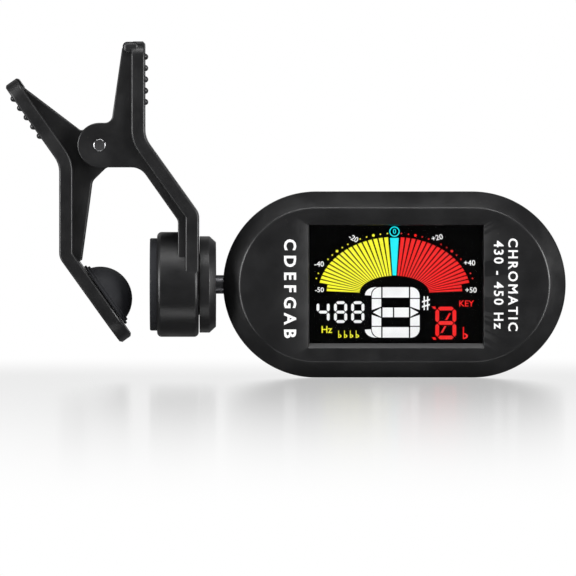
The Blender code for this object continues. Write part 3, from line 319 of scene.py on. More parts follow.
def even_steps(points, length):
    """Points spread along a path, no further apart than a length, keeping its own points."""
    runs = np.linalg.norm(np.diff(points, axis=0), axis=1)
    place = np.concatenate([[0], np.cumsum(runs)])
    counts = np.maximum(1, np.ceil(runs / length).astype(int))
    pieces = [np.linspace(a, b, n, endpoint=False) for a, b, n in zip(place, place[1:], counts)]
    at = np.concatenate([*pieces, place[-1:]])
    return np.stack([np.interp(at, place, points[:, k]) for k in range(points.shape[1])], axis=1)


def carried_plate(path, thickness, half_width, start_corner, end_corner, rounding, across=5):
    """A plate whose rounded-rectangle section is carried along a path in X and Z.

    The section runs inwards from the path by the thickness, on the side a positive thickness points
    to, the left. Its half width shrinks to each end along a quarter circle of the end's corner
    radius, so the plate ends in two rounded corners."""
    way = np.gradient(path, axis=0)
    way = way / np.linalg.norm(way, axis=1)[:, None]
    inward = np.stack([-way[:, 1], way[:, 0]], axis=1) * math.copysign(1, thickness)
    along = np.concatenate([[0], np.cumsum(np.linalg.norm(np.diff(path, axis=0), axis=1))])

    def shrink(distance, corner):
        short = np.clip(corner - distance, 0, corner)
        return corner - np.sqrt(np.maximum(corner**2 - short**2, 0))

    half = half_width - shrink(along, start_corner) - shrink(along[-1] - along, end_corner)
    depth = abs(thickness)
    end_round = np.clip(rounding - along, 0, rounding)
    end_round = np.maximum(end_round, np.clip(rounding - (along[-1] - along), 0, rounding))
    pinch = rounding - np.sqrt(np.maximum(rounding**2 - end_round**2, 0))
    turn = np.linspace(0, math.pi / 2, across)
    centres = [(1, 1, 0), (-1, 1, 90), (-1, -1, 180), (1, -1, 270)]
    columns = []
    for side, deep, first in centres:
        angle = turn + math.radians(first)
        y = side * (half - rounding)[:, None] + rounding * np.cos(angle)
        middle = depth / 2
        d = middle + deep * (middle - rounding - pinch)[:, None] + rounding * np.sin(angle)
        columns.append(np.stack([y, d], axis=-1))
    section = np.concatenate(columns, axis=1)
    y, d = section[..., 0], section[..., 1]
    x = path[:, 0, None] + inward[:, 0, None] * d
    z = path[:, 1, None] + inward[:, 1, None] * d
    points = np.stack([x, y, z], axis=-1)
    rows, count = points.shape[:2]
    faces = [tuple(face) for face in grid_faces(rows, count)]
    faces += end_faces(rows, count)
    points = points.reshape(-1, 3)
    return points, outward(points, faces)


def box_shape(lowest, highest):
    x0, y0, z0 = lowest
    x1, y1, z1 = highest
    corners = np.array([(x0, z0), (x1, z0), (x1, z1), (x0, z1)])
    return slab(corners, y0, y1, 0.0, steps=1)


def rod(radius, start, end, count=48):
    start, end = Vector(start), Vector(end)
    length = (end - start).length
    profile = [(length, 0), (length, radius), (0, radius), (0, 0)]
    return turned(profile, start, end - start, count)


# Sizes of the clip's two levers
PLATE = 2.35 * MM
PLATE_HALF = 8.9 * MM
WEB_HALF = 7.8 * MM
WEB = 1.6 * MM
EAR = 3.9 * MM
TIP_CORNER = 3.0 * MM
JAW_CORNER = 6.5 * MM
RIB_PITCH = 1.98 * MM
RIB_RADIUS = 0.55 * MM
RIB_HALF = 7.0 * MM
RIB_SUNK = 0.03 * MM
RIB_FIRST = 2.64 * MM
GRIP_X = -0.86 * MM
FOOT_X = 8.58 * MM
BEND_Z = 25.67 * MM
WALL_CORNER = 0.8 * MM
PIN_HOLE = 1.11 * MM
PIN_RADIUS = 1.085 * MM
PIN_HALF = 7.95 * MM
SPRING_RADIUS = 2.2 * MM
SPRING_HALF = 1.9 * MM
SPRING_WIRE = 0.4 * MM
SPRING_LEG = 11.5 * MM


def rib_bar(place):
    """A grip rib: a bar with round ends across the grip."""
    turn = arc(90, 0, 5)
    end = RIB_HALF - RIB_RADIUS
    cap = np.stack([end + RIB_RADIUS * np.sin(turn), RIB_RADIUS * np.cos(turn)], axis=1)
    profile = np.concatenate([cap, cap[::-1] * [-1, 1]])
    return turned(profile, place, (0, 1, 0), 24)


def both_sides(outline, inner, outer, rounding):
    """The same flat wall on both sides of the middle."""
    return [slab(outline, inner, outer, rounding), slab(outline, -outer, -inner, rounding)]


def arm_shapes(sizes):
    """Plate, two webs, end wall, ribs and barrel of the drum arm."""
    foot_z = BEND_Z - (FOOT_X - GRIP_X) / math.tan(SLOPE)
    sunk_z = 2.0 * MM
    corners = [
        (GRIP_X, ARM_TOP, 0),
        (GRIP_X, BEND_Z, 4.6 * MM),
        (FOOT_X, foot_z, 2.7 * MM),
        (FOOT_X, sunk_z, 0),
    ]
    path = bent_path(corners)
    shapes = [carried_plate(path, -PLATE, PLATE_HALF, TIP_CORNER, 0.0, sizes.edge)]
    mid = 0.55 * PLATE
    top, bottom, left = PIVOT.z + EAR, PIVOT.z - EAR, PIVOT.x - EAR
    web_x = FOOT_X - 3.64 * MM
    lift = mid * math.tan(SLOPE / 2)
    web = rounded_outline(
        [
            (GRIP_X - mid, ARM_TOP - 1.2 * MM, 0),
            (GRIP_X - 3.94 * MM, ARM_TOP - 1.2 * MM, 0),
            (GRIP_X - 5.82 * MM, top, 1.3 * MM),
            (left, top, EAR),
            (left, bottom, EAR),
            (PIVOT.x + 1.83 * EAR, bottom, 3.0 * MM),
            (web_x, foot_z - 1.25 * MM, 1.5 * MM),
            (web_x, sunk_z, 0),
            (FOOT_X - mid, sunk_z, 0),
            (FOOT_X - mid, foot_z - lift, 1.0 * MM),
            (GRIP_X - mid, BEND_Z - lift, 4.6 * MM),
        ]
    )
    shapes += both_sides(web, WEB_HALF - WEB, WEB_HALF, 0.22 * MM)
    shapes.append(end_wall())
    shapes.append(barrel())
    shapes += [
        rib_bar((GRIP_X - RIB_SUNK, 0, ARM_TOP - RIB_FIRST - index * RIB_PITCH))
        for index in range(sizes.rib_count)
    ]
    return shapes


def end_wall():
    """The block across the grip's tip, which joins the two webs to the plate."""
    inner, outer = GRIP_X - 3.84 * MM, GRIP_X - 1.0 * MM
    foot, top = ARM_TOP - 2.1 * MM, ARM_TOP - 0.07 * MM
    corners = [(inner, foot), (outer, foot), (outer, top), (inner, top)]
    outline = rounded_outline([(*corner, WALL_CORNER) for corner in corners])
    half = PLATE_HALF - 0.6 * MM
    return slab(outline, -half, half, 0.7 * MM, steps=5)


def barrel():
    """The drum: an outer wall with rounded rims, open at the pad's side and the ball's side."""
    radius, edge = DRUM_RADIUS, 0.8 * MM
    partition, floor = 2.75 * MM, 3.3 * MM
    profile = [
        (DRUM_END, radius, edge),
        (DRUM_START, radius, edge),
        (DRUM_START, 8.24 * MM, 0.06 * MM),
        (1.8 * MM, 8.24 * MM, 0),
        (1.8 * MM, 6.3 * MM, 0),
        (partition, 6.3 * MM, 0),
        (partition, 0.9 * MM, 0),
        (floor + 0.2 * MM, 0.9 * MM, 0),
        (floor + 0.2 * MM, CUP_BORE - 0.5 * MM, 0),
        (DRUM_END, CUP_BORE - 0.5 * MM, 0),
    ]
    return turned(soft_profile(profile), (0, 0, 0), (1, 0, 0), 128)


def jaw_path():
    length, slope = 16.55 * MM, 18.4 * MM
    back, bend, foot = -15.77 * MM, 21.09 * MM, 4.73 * MM
    tip = (back - length * math.sin(GRIP_TILT), bend + length * math.cos(GRIP_TILT))
    end = (back + slope * math.sin(SLOPE), foot - slope * math.cos(SLOPE))
    return [(*tip, 0), (back, bend, 4.6 * MM), (back, foot, 2.7 * MM), (*end, 0)]


def jaw_shapes(sizes):
    """Plate, two webs, end wall and ribs of the jaw lever."""
    corners = jaw_path()
    path = bent_path(corners)
    shapes = [carried_plate(path, PLATE, PLATE_HALF, TIP_CORNER, JAW_CORNER, sizes.edge)]
    (tip_x, tip_z, _), (back, bend, _), (_, foot, _), _ = corners
    way = np.array([math.sin(GRIP_TILT), -math.cos(GRIP_TILT)])
    inward = np.array([math.cos(GRIP_TILT), math.sin(GRIP_TILT)])
    mid = 0.55 * PLATE
    tip = np.array([tip_x, tip_z])
    start, inner = tip + inward * mid + way * 0.2 * MM, tip + inward * 0.85 * PLATE + way * 0.2 * MM
    hub = 3.6 * MM
    web = rounded_outline(
        [
            (*start, 0),
            (*inner, 0.45 * MM),
            (PIVOT.x - 3.47 * MM, PIVOT.z + 2.59 * MM, 0.8 * MM),
            (PIVOT.x + hub, PIVOT.z + hub, hub - 0.2 * MM),
            (PIVOT.x + hub, PIVOT.z - 3.6 * MM, hub - 0.2 * MM),
            (PIVOT.x + 1.0 * MM, PIVOT.z - 4.0 * MM, 1.0 * MM),
            (PIVOT.x - 1.35 * MM, PIVOT.z - 6.3 * MM, 1.5 * MM),
            (PIVOT.x - 1.87 * MM, PIVOT.z - 10.3 * MM, 12.0 * MM),
            (PIVOT.x - 3.2 * MM, PIVOT.z - 20.1 * MM, 0),
            (back + mid + 1.2 * MM, foot - 1.4 * MM, 0),
            (back + mid, foot + 0.6 * MM, 0),
            (back + mid, bend - 0.3 * MM, 4.6 * MM),
        ]
    )
    outer = WEB_HALF - WEB - 0.3 * MM
    shapes += both_sides(web, outer - WEB, outer, 0.22 * MM)
    deep = 1.15 * PLATE
    corner_a, corner_b = tip + inward * 0.4 * MM, tip + inward * deep
    down = way * 2.1 * MM
    wall = rounded_outline(
        [
            (*corner_a, 0.3 * MM),
            (*corner_b, 0.4 * MM),
            (*(corner_b + down), 0.2 * MM),
            (*(corner_a + down), 0.2 * MM),
        ]
    )
    shapes.append(slab(wall, -outer + WEB / 2, outer - WEB / 2, 0.0))
    for index in range(sizes.rib_count):
        place = tip + way * (RIB_FIRST + index * RIB_PITCH) + inward * RIB_SUNK
        shapes.append(rib_bar((place[0], 0, place[1])))
    return shapes


def pin_hole():
    side = Vector((0, 12 * MM, 0))
    return rod(PIN_HOLE, PIVOT - side, PIVOT + side, 40)


# Display head


def head_base(sample_points):
    """For points round the head, the nearest place on the line between its two end centres, and the
    unit direction out from it."""
    base = np.stack(
        [np.clip(sample_points[:, 0], LEFT_CENTRE, RIGHT_CENTRE), 0 * sample_points[:, 1]], axis=1
    )
    base[:, 1] += HEAD_MIDDLE_Z
    out = sample_points - base
    return base, out / np.linalg.norm(out, axis=1)[:, None]


def rectangle_samples(x0, x1, z0, z1, per_side):
    """Points round a rectangle, anticlockwise, with each corner on a point."""
    t = np.linspace(0, 1, per_side, endpoint=False)
    corners = np.array([(x0, z0), (x1, z0), (x1, z1), (x0, z1)])
    sides = [a + (b - a) * t[:, None] for a, b in zip(corners, np.roll(corners, -1, axis=0))]
    return np.concatenate(sides)


def stadium_hits(centre, directions, radius):
    """Where rays from a centre cross the stadium of a radius: on its straight sides or its ends."""
    dx, dz = directions[:, 0], directions[:, 1]
    rise = np.where(np.abs(dz) < 1e-9, 1e-9, dz)
    reach = (np.sign(rise) * radius + HEAD_MIDDLE_Z - centre[1]) / rise
    x = centre[0] + reach * dx
    end = np.where(dx > 0, RIGHT_CENTRE, LEFT_CENTRE)
    ox, oz = centre[0] - end, centre[1] - HEAD_MIDDLE_Z
    b = ox * dx + oz * dz
    c = ox**2 + oz**2 - radius**2
    round_reach = -b + np.sqrt(np.maximum(b**2 - c, 0))
    straight = (x >= LEFT_CENTRE) & (x <= RIGHT_CENTRE)
    reach = np.where(straight, reach, round_reach)
    return np.array(centre) + directions * reach[:, None]


SEAM_HALF = 0.075 * MM
HEAD_BEVEL = 2.9 * MM
BEVEL_SOFT = 0.28 * MM
SIDE_HALF = 2.6 * MM
WALL = 1.3 * MM
FACE_WALL = 1.1 * MM
WINDOW = (27.7 * MM, 58.4 * MM, -11.1 * MM, 10.5 * MM)
WINDOW_SLOPE = np.array([0.2, 0.85, 0.2]) * MM
WINDOW_DEEP = 0.7 * MM


def bevel_rows(face, side):
    """(inset, depth from the middle) from the face's edge over the soft-edged chamfer to the seam.

    The two edges of the chamfer are arcs that are tangent to the flats on both sides."""
    slant = math.radians(45)
    turn = np.linspace(0, slant, 5)
    radius = BEVEL_SOFT / math.tan(slant / 2)
    upper = np.stack(
        [HEAD_BEVEL + BEVEL_SOFT - radius * np.sin(turn), face - radius * (1 - np.cos(turn))], axis=1
    )
    lower_turn = np.linspace(slant, 2 * slant, 5)
    lower = np.stack(
        [radius * (1 - np.sin(lower_turn)), side - BEVEL_SOFT + radius * np.cos(lower_turn)],
        axis=1,
    )
    return np.concatenate([upper, lower])


def shell_rows():
    """The (inset, depth) rows of a case half from the edge of its face round the lip to its inside."""
    outer = bevel_rows(-FACE_Y, SIDE_HALF)
    lip = 0.12 * MM
    inner_depth = -FACE_Y - FACE_WALL
    rest = [
        (0.0, 2 * lip),
        (0.3 * lip, SEAM_HALF + 0.3 * lip),
        (lip, SEAM_HALF),
        (WALL, SEAM_HALF),
        (WALL, SIDE_HALF - WALL / 2),
        (HEAD_BEVEL + FACE_WALL, inner_depth),
    ]
    return np.concatenate([outer, np.array(rest)])


def front_shell():
    """The front case half as one closed skin.

    Its grid runs round the head one way. The other way it runs from the window's straight throat,
    out over the sloping sill, across the face, over the chamfer to the seam, and back inside."""
    x0, x1, z0, z1 = WINDOW
    per_side = 80
    rectangle = rectangle_samples(x0, x1, z0, z1, per_side)
    centre = np.array([(x0 + x1) / 2, (z0 + z1) / 2])
    directions = rectangle - centre
    directions = directions / np.linalg.norm(directions, axis=1)[:, None]
    hits = stadium_hits(centre, directions, HEAD_RADIUS - HEAD_BEVEL)
    base, out = head_base(hits)

    def window_row(share, depth):
        side, below, above = share * WINDOW_SLOPE
        start, end = np.array([x0 + side, z0 + below]), np.array([x1 - side, z1 - above])
        ring = start + (rectangle - [x0, z0]) * (end - start) / [x1 - x0, z1 - z0]
        return np.stack([ring[:, 0], np.full(len(ring), -depth), ring[:, 1]], axis=1)

    def head_row(inset, depth):
        ring = base + out * (HEAD_RADIUS - inset)
        return np.stack([ring[:, 0], np.full(len(ring), -depth), ring[:, 1]], axis=1)

    face = -FACE_Y
    soft = 0.06
    rows = [
        window_row(1.0, face - FACE_WALL),
        window_row(1.0, face - WINDOW_DEEP),
        window_row(soft, face - soft * WINDOW_DEEP),
        window_row(0.0, face - 0.2 * soft * WINDOW_DEEP),
        window_row(-soft, face),
    ]
    rows += [head_row(inset, depth) for inset, depth in shell_rows()]
    points = np.concatenate(rows)
    faces = [tuple(face) for face in grid_faces(len(rows), len(rectangle), wrap_rows=True)]
    return points, outward(points, faces)


def full_outline(count=120):
    """Evenly turned directions round the head, with the base points they start from."""
    half = count // 2
    right, left = arc(-90, 90, half), arc(90, 270, half)
    angle = np.concatenate([right, left])
    centre = np.concatenate([np.full(half, RIGHT_CENTRE), np.full(half, LEFT_CENTRE)])
    base = np.stack([centre, np.full(count, HEAD_MIDDLE_Z)], axis=1)
    return base, np.stack([np.cos(angle), np.sin(angle)], axis=1)


def stacked_head(rows):
    """Rows of (inset, y) round the head's outline; the first and last row are closed by flat faces."""
    base, out = full_outline()
    rings = []
    for inset, y in rows:
        ring = base + out * (HEAD_RADIUS - inset)
        rings.append(np.stack([ring[:, 0], np.full(len(ring), y), ring[:, 1]], axis=1))
    count = len(base)
    faces = [tuple(face) for face in grid_faces(len(rings), count)]
    faces += end_faces(len(rings), count)
    points = np.concatenate(rings)
    return points, outward(points, faces)


def rear_shell():
    return stacked_head(shell_rows())


# Battery door, screws and buttons on the rear
DOOR_X = RIGHT_CENTRE - 12.2 * MM
DOOR_HALF = 10.6 * MM
DOOR_TONGUE = 0.6 * MM
DOOR_DEEP = 1.35 * MM
DOOR_LIP = 0.5 * MM
SCREW_HOLE = 1.25 * MM
BUTTON_HOLE = 2.75 * MM
STEM_HOLE = 1.78 * MM
SLIDE = 0.25 * MM
CELL_HOLE = 10.3 * MM


def rear_cutters():
    """The door's T-shaped way in, the cell's hole, the button holes and the screw recesses."""
    far = HEAD_HIGH.x + 2 * MM
    floor = REAR_Y - DOOR_DEEP - SLIDE
    wide = DOOR_HALF + DOOR_TONGUE
    cutters = [
        box_shape((DOOR_X, floor, -wide), (far, REAR_Y - DOOR_LIP, wide)),
        box_shape((DOOR_X, floor + 0.05 * MM, -DOOR_HALF), (far, REAR_Y + MM, DOOR_HALF)),
        rod(CELL_HOLE, (RIGHT_CENTRE, 0, 0), (RIGHT_CENTRE, REAR_Y + MM, 0), 96),
    ]
    for name in ("case_screw_1", "case_screw_2", "case_screw_3", "case_screw_4"):
        middle = (low(name) + high(name)) / 2
        place = Vector((middle.x, REAR_Y - 1.25 * MM, middle.z))
        cutters.append(rod(SCREW_HOLE, place, place + Vector((0, 3 * MM, 0)), 32))
    for name in ("power_button", "mode_button", "pitch_button"):
        middle = (low(name) + high(name)) / 2
        place = Vector((middle.x, REAR_Y - 3 * MM, middle.z))
        cutters.append(rod(BUTTON_HOLE, place, place + Vector((0, 5 * MM, 0)), 48))
    cutters.append(stem_hole())
    return cutters


def stem_hole():
    return rod(STEM_HOLE, (HEAD_LOW.x - 2 * MM, 0, 0), (HEAD_LOW.x + 4 * MM, 0, 0), 40)


def deck_shape():
    """The rear's thick deck round the coin cell: straight at the door's edge, round at the far end."""
    radius = HEAD_RADIUS - HEAD_BEVEL - 0.3 * MM
    outline = rounded_outline(
        [
            (DOOR_X - WALL, -radius, 0),
            (RIGHT_CENTRE + radius, -radius, radius),
            (RIGHT_CENTRE + radius, radius, radius),
            (DOOR_X - WALL, radius, 0),
        ]
    )
    return slab(outline, REAR_Y - 3.2 * MM, REAR_Y - FACE_WALL / 2, 0.0, steps=1)


def door_shapes():
    """The door is the head's rear between its finger edge, its two tongues and the head's end."""
    inner = REAR_Y - DOOR_DEEP
    rows = [row for row in bevel_rows(REAR_Y, SIDE_HALF) if row[1] > inner]
    block = stacked_head([*rows, (HEAD_BEVEL - DOOR_DEEP, inner)])
    far, wide = 40 * MM, 30 * MM
    half, tongue = DOOR_HALF - SLIDE, DOOR_HALF + DOOR_TONGUE - SLIDE
    step = REAR_Y - DOOR_LIP - SLIDE
    cutters = [box_shape((HEAD_LOW.x - MM, -MM, -wide), (DOOR_X + SLIDE, REAR_Y + MM, wide))]
    for side in (1, -1):
        outer = sorted((side * tongue, side * wide))
        upper = sorted((side * half, side * (tongue + MM)))
        cutters.append(box_shape((0, -MM, outer[0]), (far * 3, REAR_Y + MM, outer[1])))
        cutters.append(box_shape((0, step, upper[0]), (far * 3, REAR_Y + MM, upper[1])))
    for index in range(5):
        x = DOOR_X + (2.0 + 1.1 * index) * MM
        ends = (x, REAR_Y + 0.12 * MM, -4.2 * MM), (x, REAR_Y + 0.12 * MM, 4.2 * MM)
        cutters.append(rod(0.4 * MM, *ends, 20))
    return [block], cutters


# Display art: thin lit segments just in front of the display panel

LCD_Y = low("lcd_panel").y - 0.06 * MM
GAUGE_X = 42.75 * MM
GAUGE_Z = -1.5 * MM


def flat_solids(outlines, y, thickness):
    """Several flat outlines given a little thickness, as one set of points and faces."""
    return merged(
        [slab(np.asarray(outline, float), y, y + thickness, 0.0, steps=1) for outline in outlines]
    )


def ellipse_point(angle, half_width, half_height):
    """A place on an ellipse about the gauge's centre, at an angle from straight up in radians."""
    x = GAUGE_X + half_width * np.sin(angle)
    z = GAUGE_Z + half_height * np.cos(angle)
    return np.stack([x, z], axis=-1)


def wedge(angle, spread):
    """A gauge bar between the outer and the inner ellipse; the lowest two bars are shorter."""
    edges = np.linspace(angle - spread / 2, angle + spread / 2, 4)
    share = 0.89 if abs(angle) > math.radians(80) else 1.0
    outer = ellipse_point(edges, share * 13.3 * MM, share * 9.8 * MM)
    inner = ellipse_point(edges[::-1], 6.1 * MM, 3.05 * MM)
    return np.concatenate([outer, inner])


def disc(centre, radius, count=20):
    angle = np.linspace(0, 2 * math.pi, count, endpoint=False)
    return np.array(centre) + radius * np.stack([np.cos(angle), np.sin(angle)], axis=1)


def dot_row(side):
    """Dots over the gauge at even steps, leaving out those where the labels stand."""
    outlines = []
    for step in range(15):
        if step in (5, 11, 12):
            continue
        angle = side * math.radians(5.0 + 5.05 * step)
        radius = 0.24 * MM if step in (2, 8) else 0.13 * MM
        outlines.append(disc(ellipse_point(angle, 14.07 * MM, 10.45 * MM), radius))
    return outlines


def bar(x0, z0, x1, z1, slant=0.0):
    """A segment from corner to corner, whose short ends come to a point by a slant."""
    if abs(x1 - x0) >= abs(z1 - z0):
        middle = (z0 + z1) / 2
        return [
            (x0 + slant, z0),
            (x1 - slant, z0),
            (x1, middle),
            (x1 - slant, z1),
            (x0 + slant, z1),
            (x0, middle),
        ]
    middle = (x0 + x1) / 2
    return [
        (x0, z0 + slant), (middle, z0), (x1, z0 + slant), (x1, z1 - slant), (middle, z1), (x0, z1 - slant)
    ]


SEVEN = {"0": "abcdef", "4": "bcfg", "8": "abcdefg"}


def seven_segment(digit, x, z, width, height, stroke):
    """The lit bars of a seven-segment digit whose lower left corner is (x, z)."""
    gap, slant, middle = 0.12 * MM, stroke / 2, z + height / 2
    right, top = x + width, z + height
    bars = {
        "a": (x + gap + slant, top - stroke, right - gap - slant, top),
        "d": (x + gap + slant, z, right - gap - slant, z + stroke),
        "g": (x + gap + slant, middle - stroke / 2, right - gap - slant, middle + stroke / 2),
        "f": (x, middle + gap, x + stroke, top - gap - slant),
        "b": (right - stroke, middle + gap, right, top - gap - slant),
        "e": (x, z + gap + slant, x + stroke, middle - gap),
        "c": (right - stroke, z + gap + slant, right, middle - gap),
    }
    return [bar(*bars[key], slant) for key in SEVEN[digit]]


def key_figure(x0, z0, x1, z1, stroke):
    """A seven-segment eight with one slanting bar in each half and two short tails at its left."""
    outlines = seven_segment("8", x0, z0, x1 - x0, z1 - z0, stroke)
    middle_x, middle_z = (x0 + x1) / 2, (z0 + z1) / 2
    thick = 0.55 * stroke
    for side in (1, -1):
        near = np.array([middle_x + side * 0.1 * stroke, middle_z + side * 0.8 * stroke])
        far = np.array([middle_x + side * 1.1 * stroke, middle_z + side * 2.6 * stroke])
        across = np.array([thick, 0.0])
        outlines.append(
            np.array([near - across / 2, near + across / 2, far + across / 2, far - across / 2])
        )
        tail = np.array([x0 - 0.15 * stroke, middle_z + side * ((z1 - z0) / 2 - 0.25 * stroke)])
        outlines.append(tail + stroke * np.array([(-0.8, 0.3), (0.1, 0.3), (0.4, -0.35), (-0.3, -0.35)]))
    return outlines


def note_figure():
    """The large note sign: round-cornered frame of bars, split middle bars, side wedges and two lobes."""
    x0, x1, z0, z1 = 38.8 * MM, 47.15 * MM, -9.25 * MM, -0.45 * MM
    stroke, gap = 1.64 * MM, 0.24 * MM
    split, middle = 42.6 * MM, (z0 + z1) / 2
    bend, corner = 1.5 * MM, 1.88 * MM
    outlines = []
    for rim, rise in ((z0, 1), (z1, -1)):
        ends = (rim, rim + rise * 1.82 * MM)
        outlines.append(
            np.array(
                [
                    (x0 + 1.88 * MM, ends[0]),
                    (x1 - 1.88 * MM, ends[0]),
                    (x1 - 1.88 * MM, ends[1]),
                    (x0 + 1.88 * MM, ends[1]),
                ]
            )
        )
    for edge, side in ((x0, 1), (x1, -1)):
        for rim, rise in ((z0, 1), (z1, -1)):
            turn = arc(0, 90, 9)
            round_x = edge + side * bend * (1 - np.cos(turn))
            round_z = rim + rise * bend * (1 - np.sin(turn))
            inner = [
                (edge + side * stroke, rim),
                (edge + side * stroke, rim + rise * corner),
                (edge, rim + rise * corner),
            ]
            outlines.append(np.concatenate([np.stack([round_x, round_z], axis=1), inner]))
            outlines.append(
                np.array([(edge, rim + rise * 2.05 * MM), (edge + side * stroke, rim + rise * 2.05 * MM),
                          (edge + side * stroke, middle - rise * 1.0 * MM),
                          (edge, middle - rise * 0.42 * MM)])
            )
        outlines.append(
            np.array([(edge + side * 0.2 * MM, middle), (edge + side * 1.6 * MM, middle + 0.76 * MM),
                      (edge + side * 1.6 * MM, middle - 0.76 * MM)])
        )
    half = 0.84 * MM
    for start, end in ((x0 + 1.88 * MM, split - gap / 2), (split + gap / 2, x1 - 1.88 * MM)):
        outlines.append(
            np.array(
                [(start, middle - half), (end, middle - half), (end, middle + half), (start, middle + half)]
            )
        )
    turn = arc(0, 90, 9)
    for rim, rise in ((z0, 1), (z1, -1)):
        outer = np.stack(
            [x0 + 0.65 * MM - 1.85 * MM * np.cos(turn), rim + rise * 1.4 * MM * (1 - np.sin(turn))], axis=1
        )
        inner = np.stack(
            [x0 + 1.0 * MM - 1.15 * MM * np.cos(turn), rim + rise * 1.45 * MM * (1 - 0.97 * np.sin(turn))],
            axis=1,
        )
        outlines.append(np.concatenate([outer, inner[::-1]]))
    return outlines


def sharp_sign(x, z, width, height):
    """A music sharp: two uprights and two slanting bars."""
    line = 0.16 * width
    outlines = []
    for side in (-0.22, 0.22):
        middle = x + side * width
        outlines.append([(middle - line / 2, z - height / 2), (middle + line / 2, z - height / 2),
                         (middle + line / 2, z + height / 2), (middle - line / 2, z + height / 2)])
    for rise in (-0.18, 0.18):
        level, lift = z + rise * height, 0.08 * height
        thick = 0.12 * height
        outlines.append([(x - width / 2, level - thick / 2 - lift), (x + width / 2, level - thick / 2 + lift),
                         (x + width / 2, level + thick / 2 + lift),
                         (x - width / 2, level + thick / 2 - lift)])
    return outlines


def flat_sign(x, z, width, height):
    """A music flat: an upright with a leaf-shaped bowl beside its foot."""
    line = 0.2 * width
    turn = arc(90, -75, 12)
    outer = np.stack([x + 0.95 * width * np.cos(turn), z + 0.25 * height * (1 + np.sin(turn))], axis=1)
    inner = np.stack(
        [x + 0.6 * width * np.cos(turn), z + 0.25 * height + 0.14 * height * np.sin(turn)], axis=1
    )
    upright = [(x, z), (x + line, z), (x + line, z + height), (x, z + height)]
    return [np.array(upright), np.concatenate([outer, inner[::-1]])]


def lettering(text, size, x, z, y, turn=0.0, weight=0.012, spacing=1.0):
    """Figures or letters as flat faces that look towards -Y, centred on (x, z) and turned in degrees.

    Each outline is moved out by a share of the size, its weight. Spacing spreads the letters."""
    curve = bpy.data.curves.new("lettering", "FONT")
    curve.body = text
    curve.size = size
    curve.offset = weight * size
    curve.space_character = spacing
    curve.align_x = "CENTER"
    curve.align_y = "CENTER"
    curve.resolution_u = 3
    words = bpy.data.objects.new("lettering", curve)
    bpy.context.scene.collection.objects.link(words)
    bpy.context.view_layer.update()
    graph = bpy.context.evaluated_depsgraph_get()
    mesh = bpy.data.meshes.new_from_object(words.evaluated_get(graph))
    flat = np.empty(len(mesh.vertices) * 3)
    mesh.vertices.foreach_get("co", flat)
    flat = flat.reshape(-1, 3)
    faces = [tuple(face.vertices) for face in mesh.polygons]
    angle = math.radians(turn)
    across = flat[:, 0] * math.cos(angle) - flat[:, 1] * math.sin(angle)
    upward = flat[:, 0] * math.sin(angle) + flat[:, 1] * math.cos(angle)
    bpy.data.objects.remove(words)
    return np.stack([x + across, np.full(len(flat), y), z + upward], axis=1), faces


def merged(shapes):
    """Several (points, faces) shapes as one."""
    points, faces, count = [], [], 0
    for p, f in shapes:
        points.append(p)
        faces += [tuple(index + count for index in face) for face in f]
        count += len(p)
    return np.concatenate(points), faces


def fold_marks(mesh):
    """Stores how sharply each face is folded out from its neighbours, as the face attribute "wear".

    For each edge the fold is the angle between its two faces, counted where they fold outwards. A
    face's mark is the sum of fold times edge length over its area, scaled so that the narrow strips
    of a rounded edge come to 1 and a broad flat face to 0."""
    count, loops = len(mesh.polygons), len(mesh.loops)
    normal = np.empty(count * 3)
    centre = np.empty(count * 3)
    area = np.empty(count)
    total = np.empty(count, int)
    edge_of = np.empty(loops, int)
    mesh.polygons.foreach_get("normal", normal)
    mesh.polygons.foreach_get("center", centre)
    mesh.polygons.foreach_get("area", area)
    mesh.polygons.foreach_get("loop_total", total)
    mesh.loops.foreach_get("edge_index", edge_of)
    normal, centre = normal.reshape(-1, 3), centre.reshape(-1, 3)
    face_of = np.repeat(np.arange(count), total)
    ends = np.empty(len(mesh.edges) * 2, int)
    mesh.edges.foreach_get("vertices", ends)
    place = np.empty(len(mesh.vertices) * 3)
    mesh.vertices.foreach_get("co", place)
    ends, place = ends.reshape(-1, 2), place.reshape(-1, 3)
    length = np.linalg.norm(place[ends[:, 0]] - place[ends[:, 1]], axis=1)
    order = np.argsort(edge_of, kind="stable")
    same = edge_of[order][:-1] == edge_of[order][1:]
    a, b = face_of[order][:-1][same], face_of[order][1:][same]
    edge = edge_of[order][:-1][same]
    fold = np.arccos(np.clip(np.sum(normal[a] * normal[b], axis=1), -1, 1))
    outwards = np.sum((centre[b] - centre[a]) * normal[a], axis=1) < 0
    weight = fold * outwards * length[edge]
    summed = np.bincount(a, weight, count) + np.bincount(b, weight, count)
    mark = np.clip(summed / np.maximum(area, 1e-12) * MM / 5.0 - 0.15, 0, 1)
    mesh.attributes.new("wear", "FLOAT", "FACE").data.foreach_set("value", mark.astype(np.float32))


# Materials


def linear(*levels):
    """A colour given as 0 to 255 screen levels, as the linear values that shaders take."""
    share = np.array(levels, float) / 255
    value = np.where(share <= 0.04045, share / 12.92, ((share + 0.055) / 1.055) ** 2.4)
    return (*value.tolist(), 1.0)


def put(tree, kind, place, settings=None, inputs=None):
    """A node of a kind, with its settings and its unlinked inputs given by name or number."""
    made = tree.nodes.new(kind)
    made.location = place
    for key, value in (settings or {}).items():
        setattr(made, key, value)
    for key, value in (inputs or {}).items():
        made.inputs[key].default_value = value
    return made


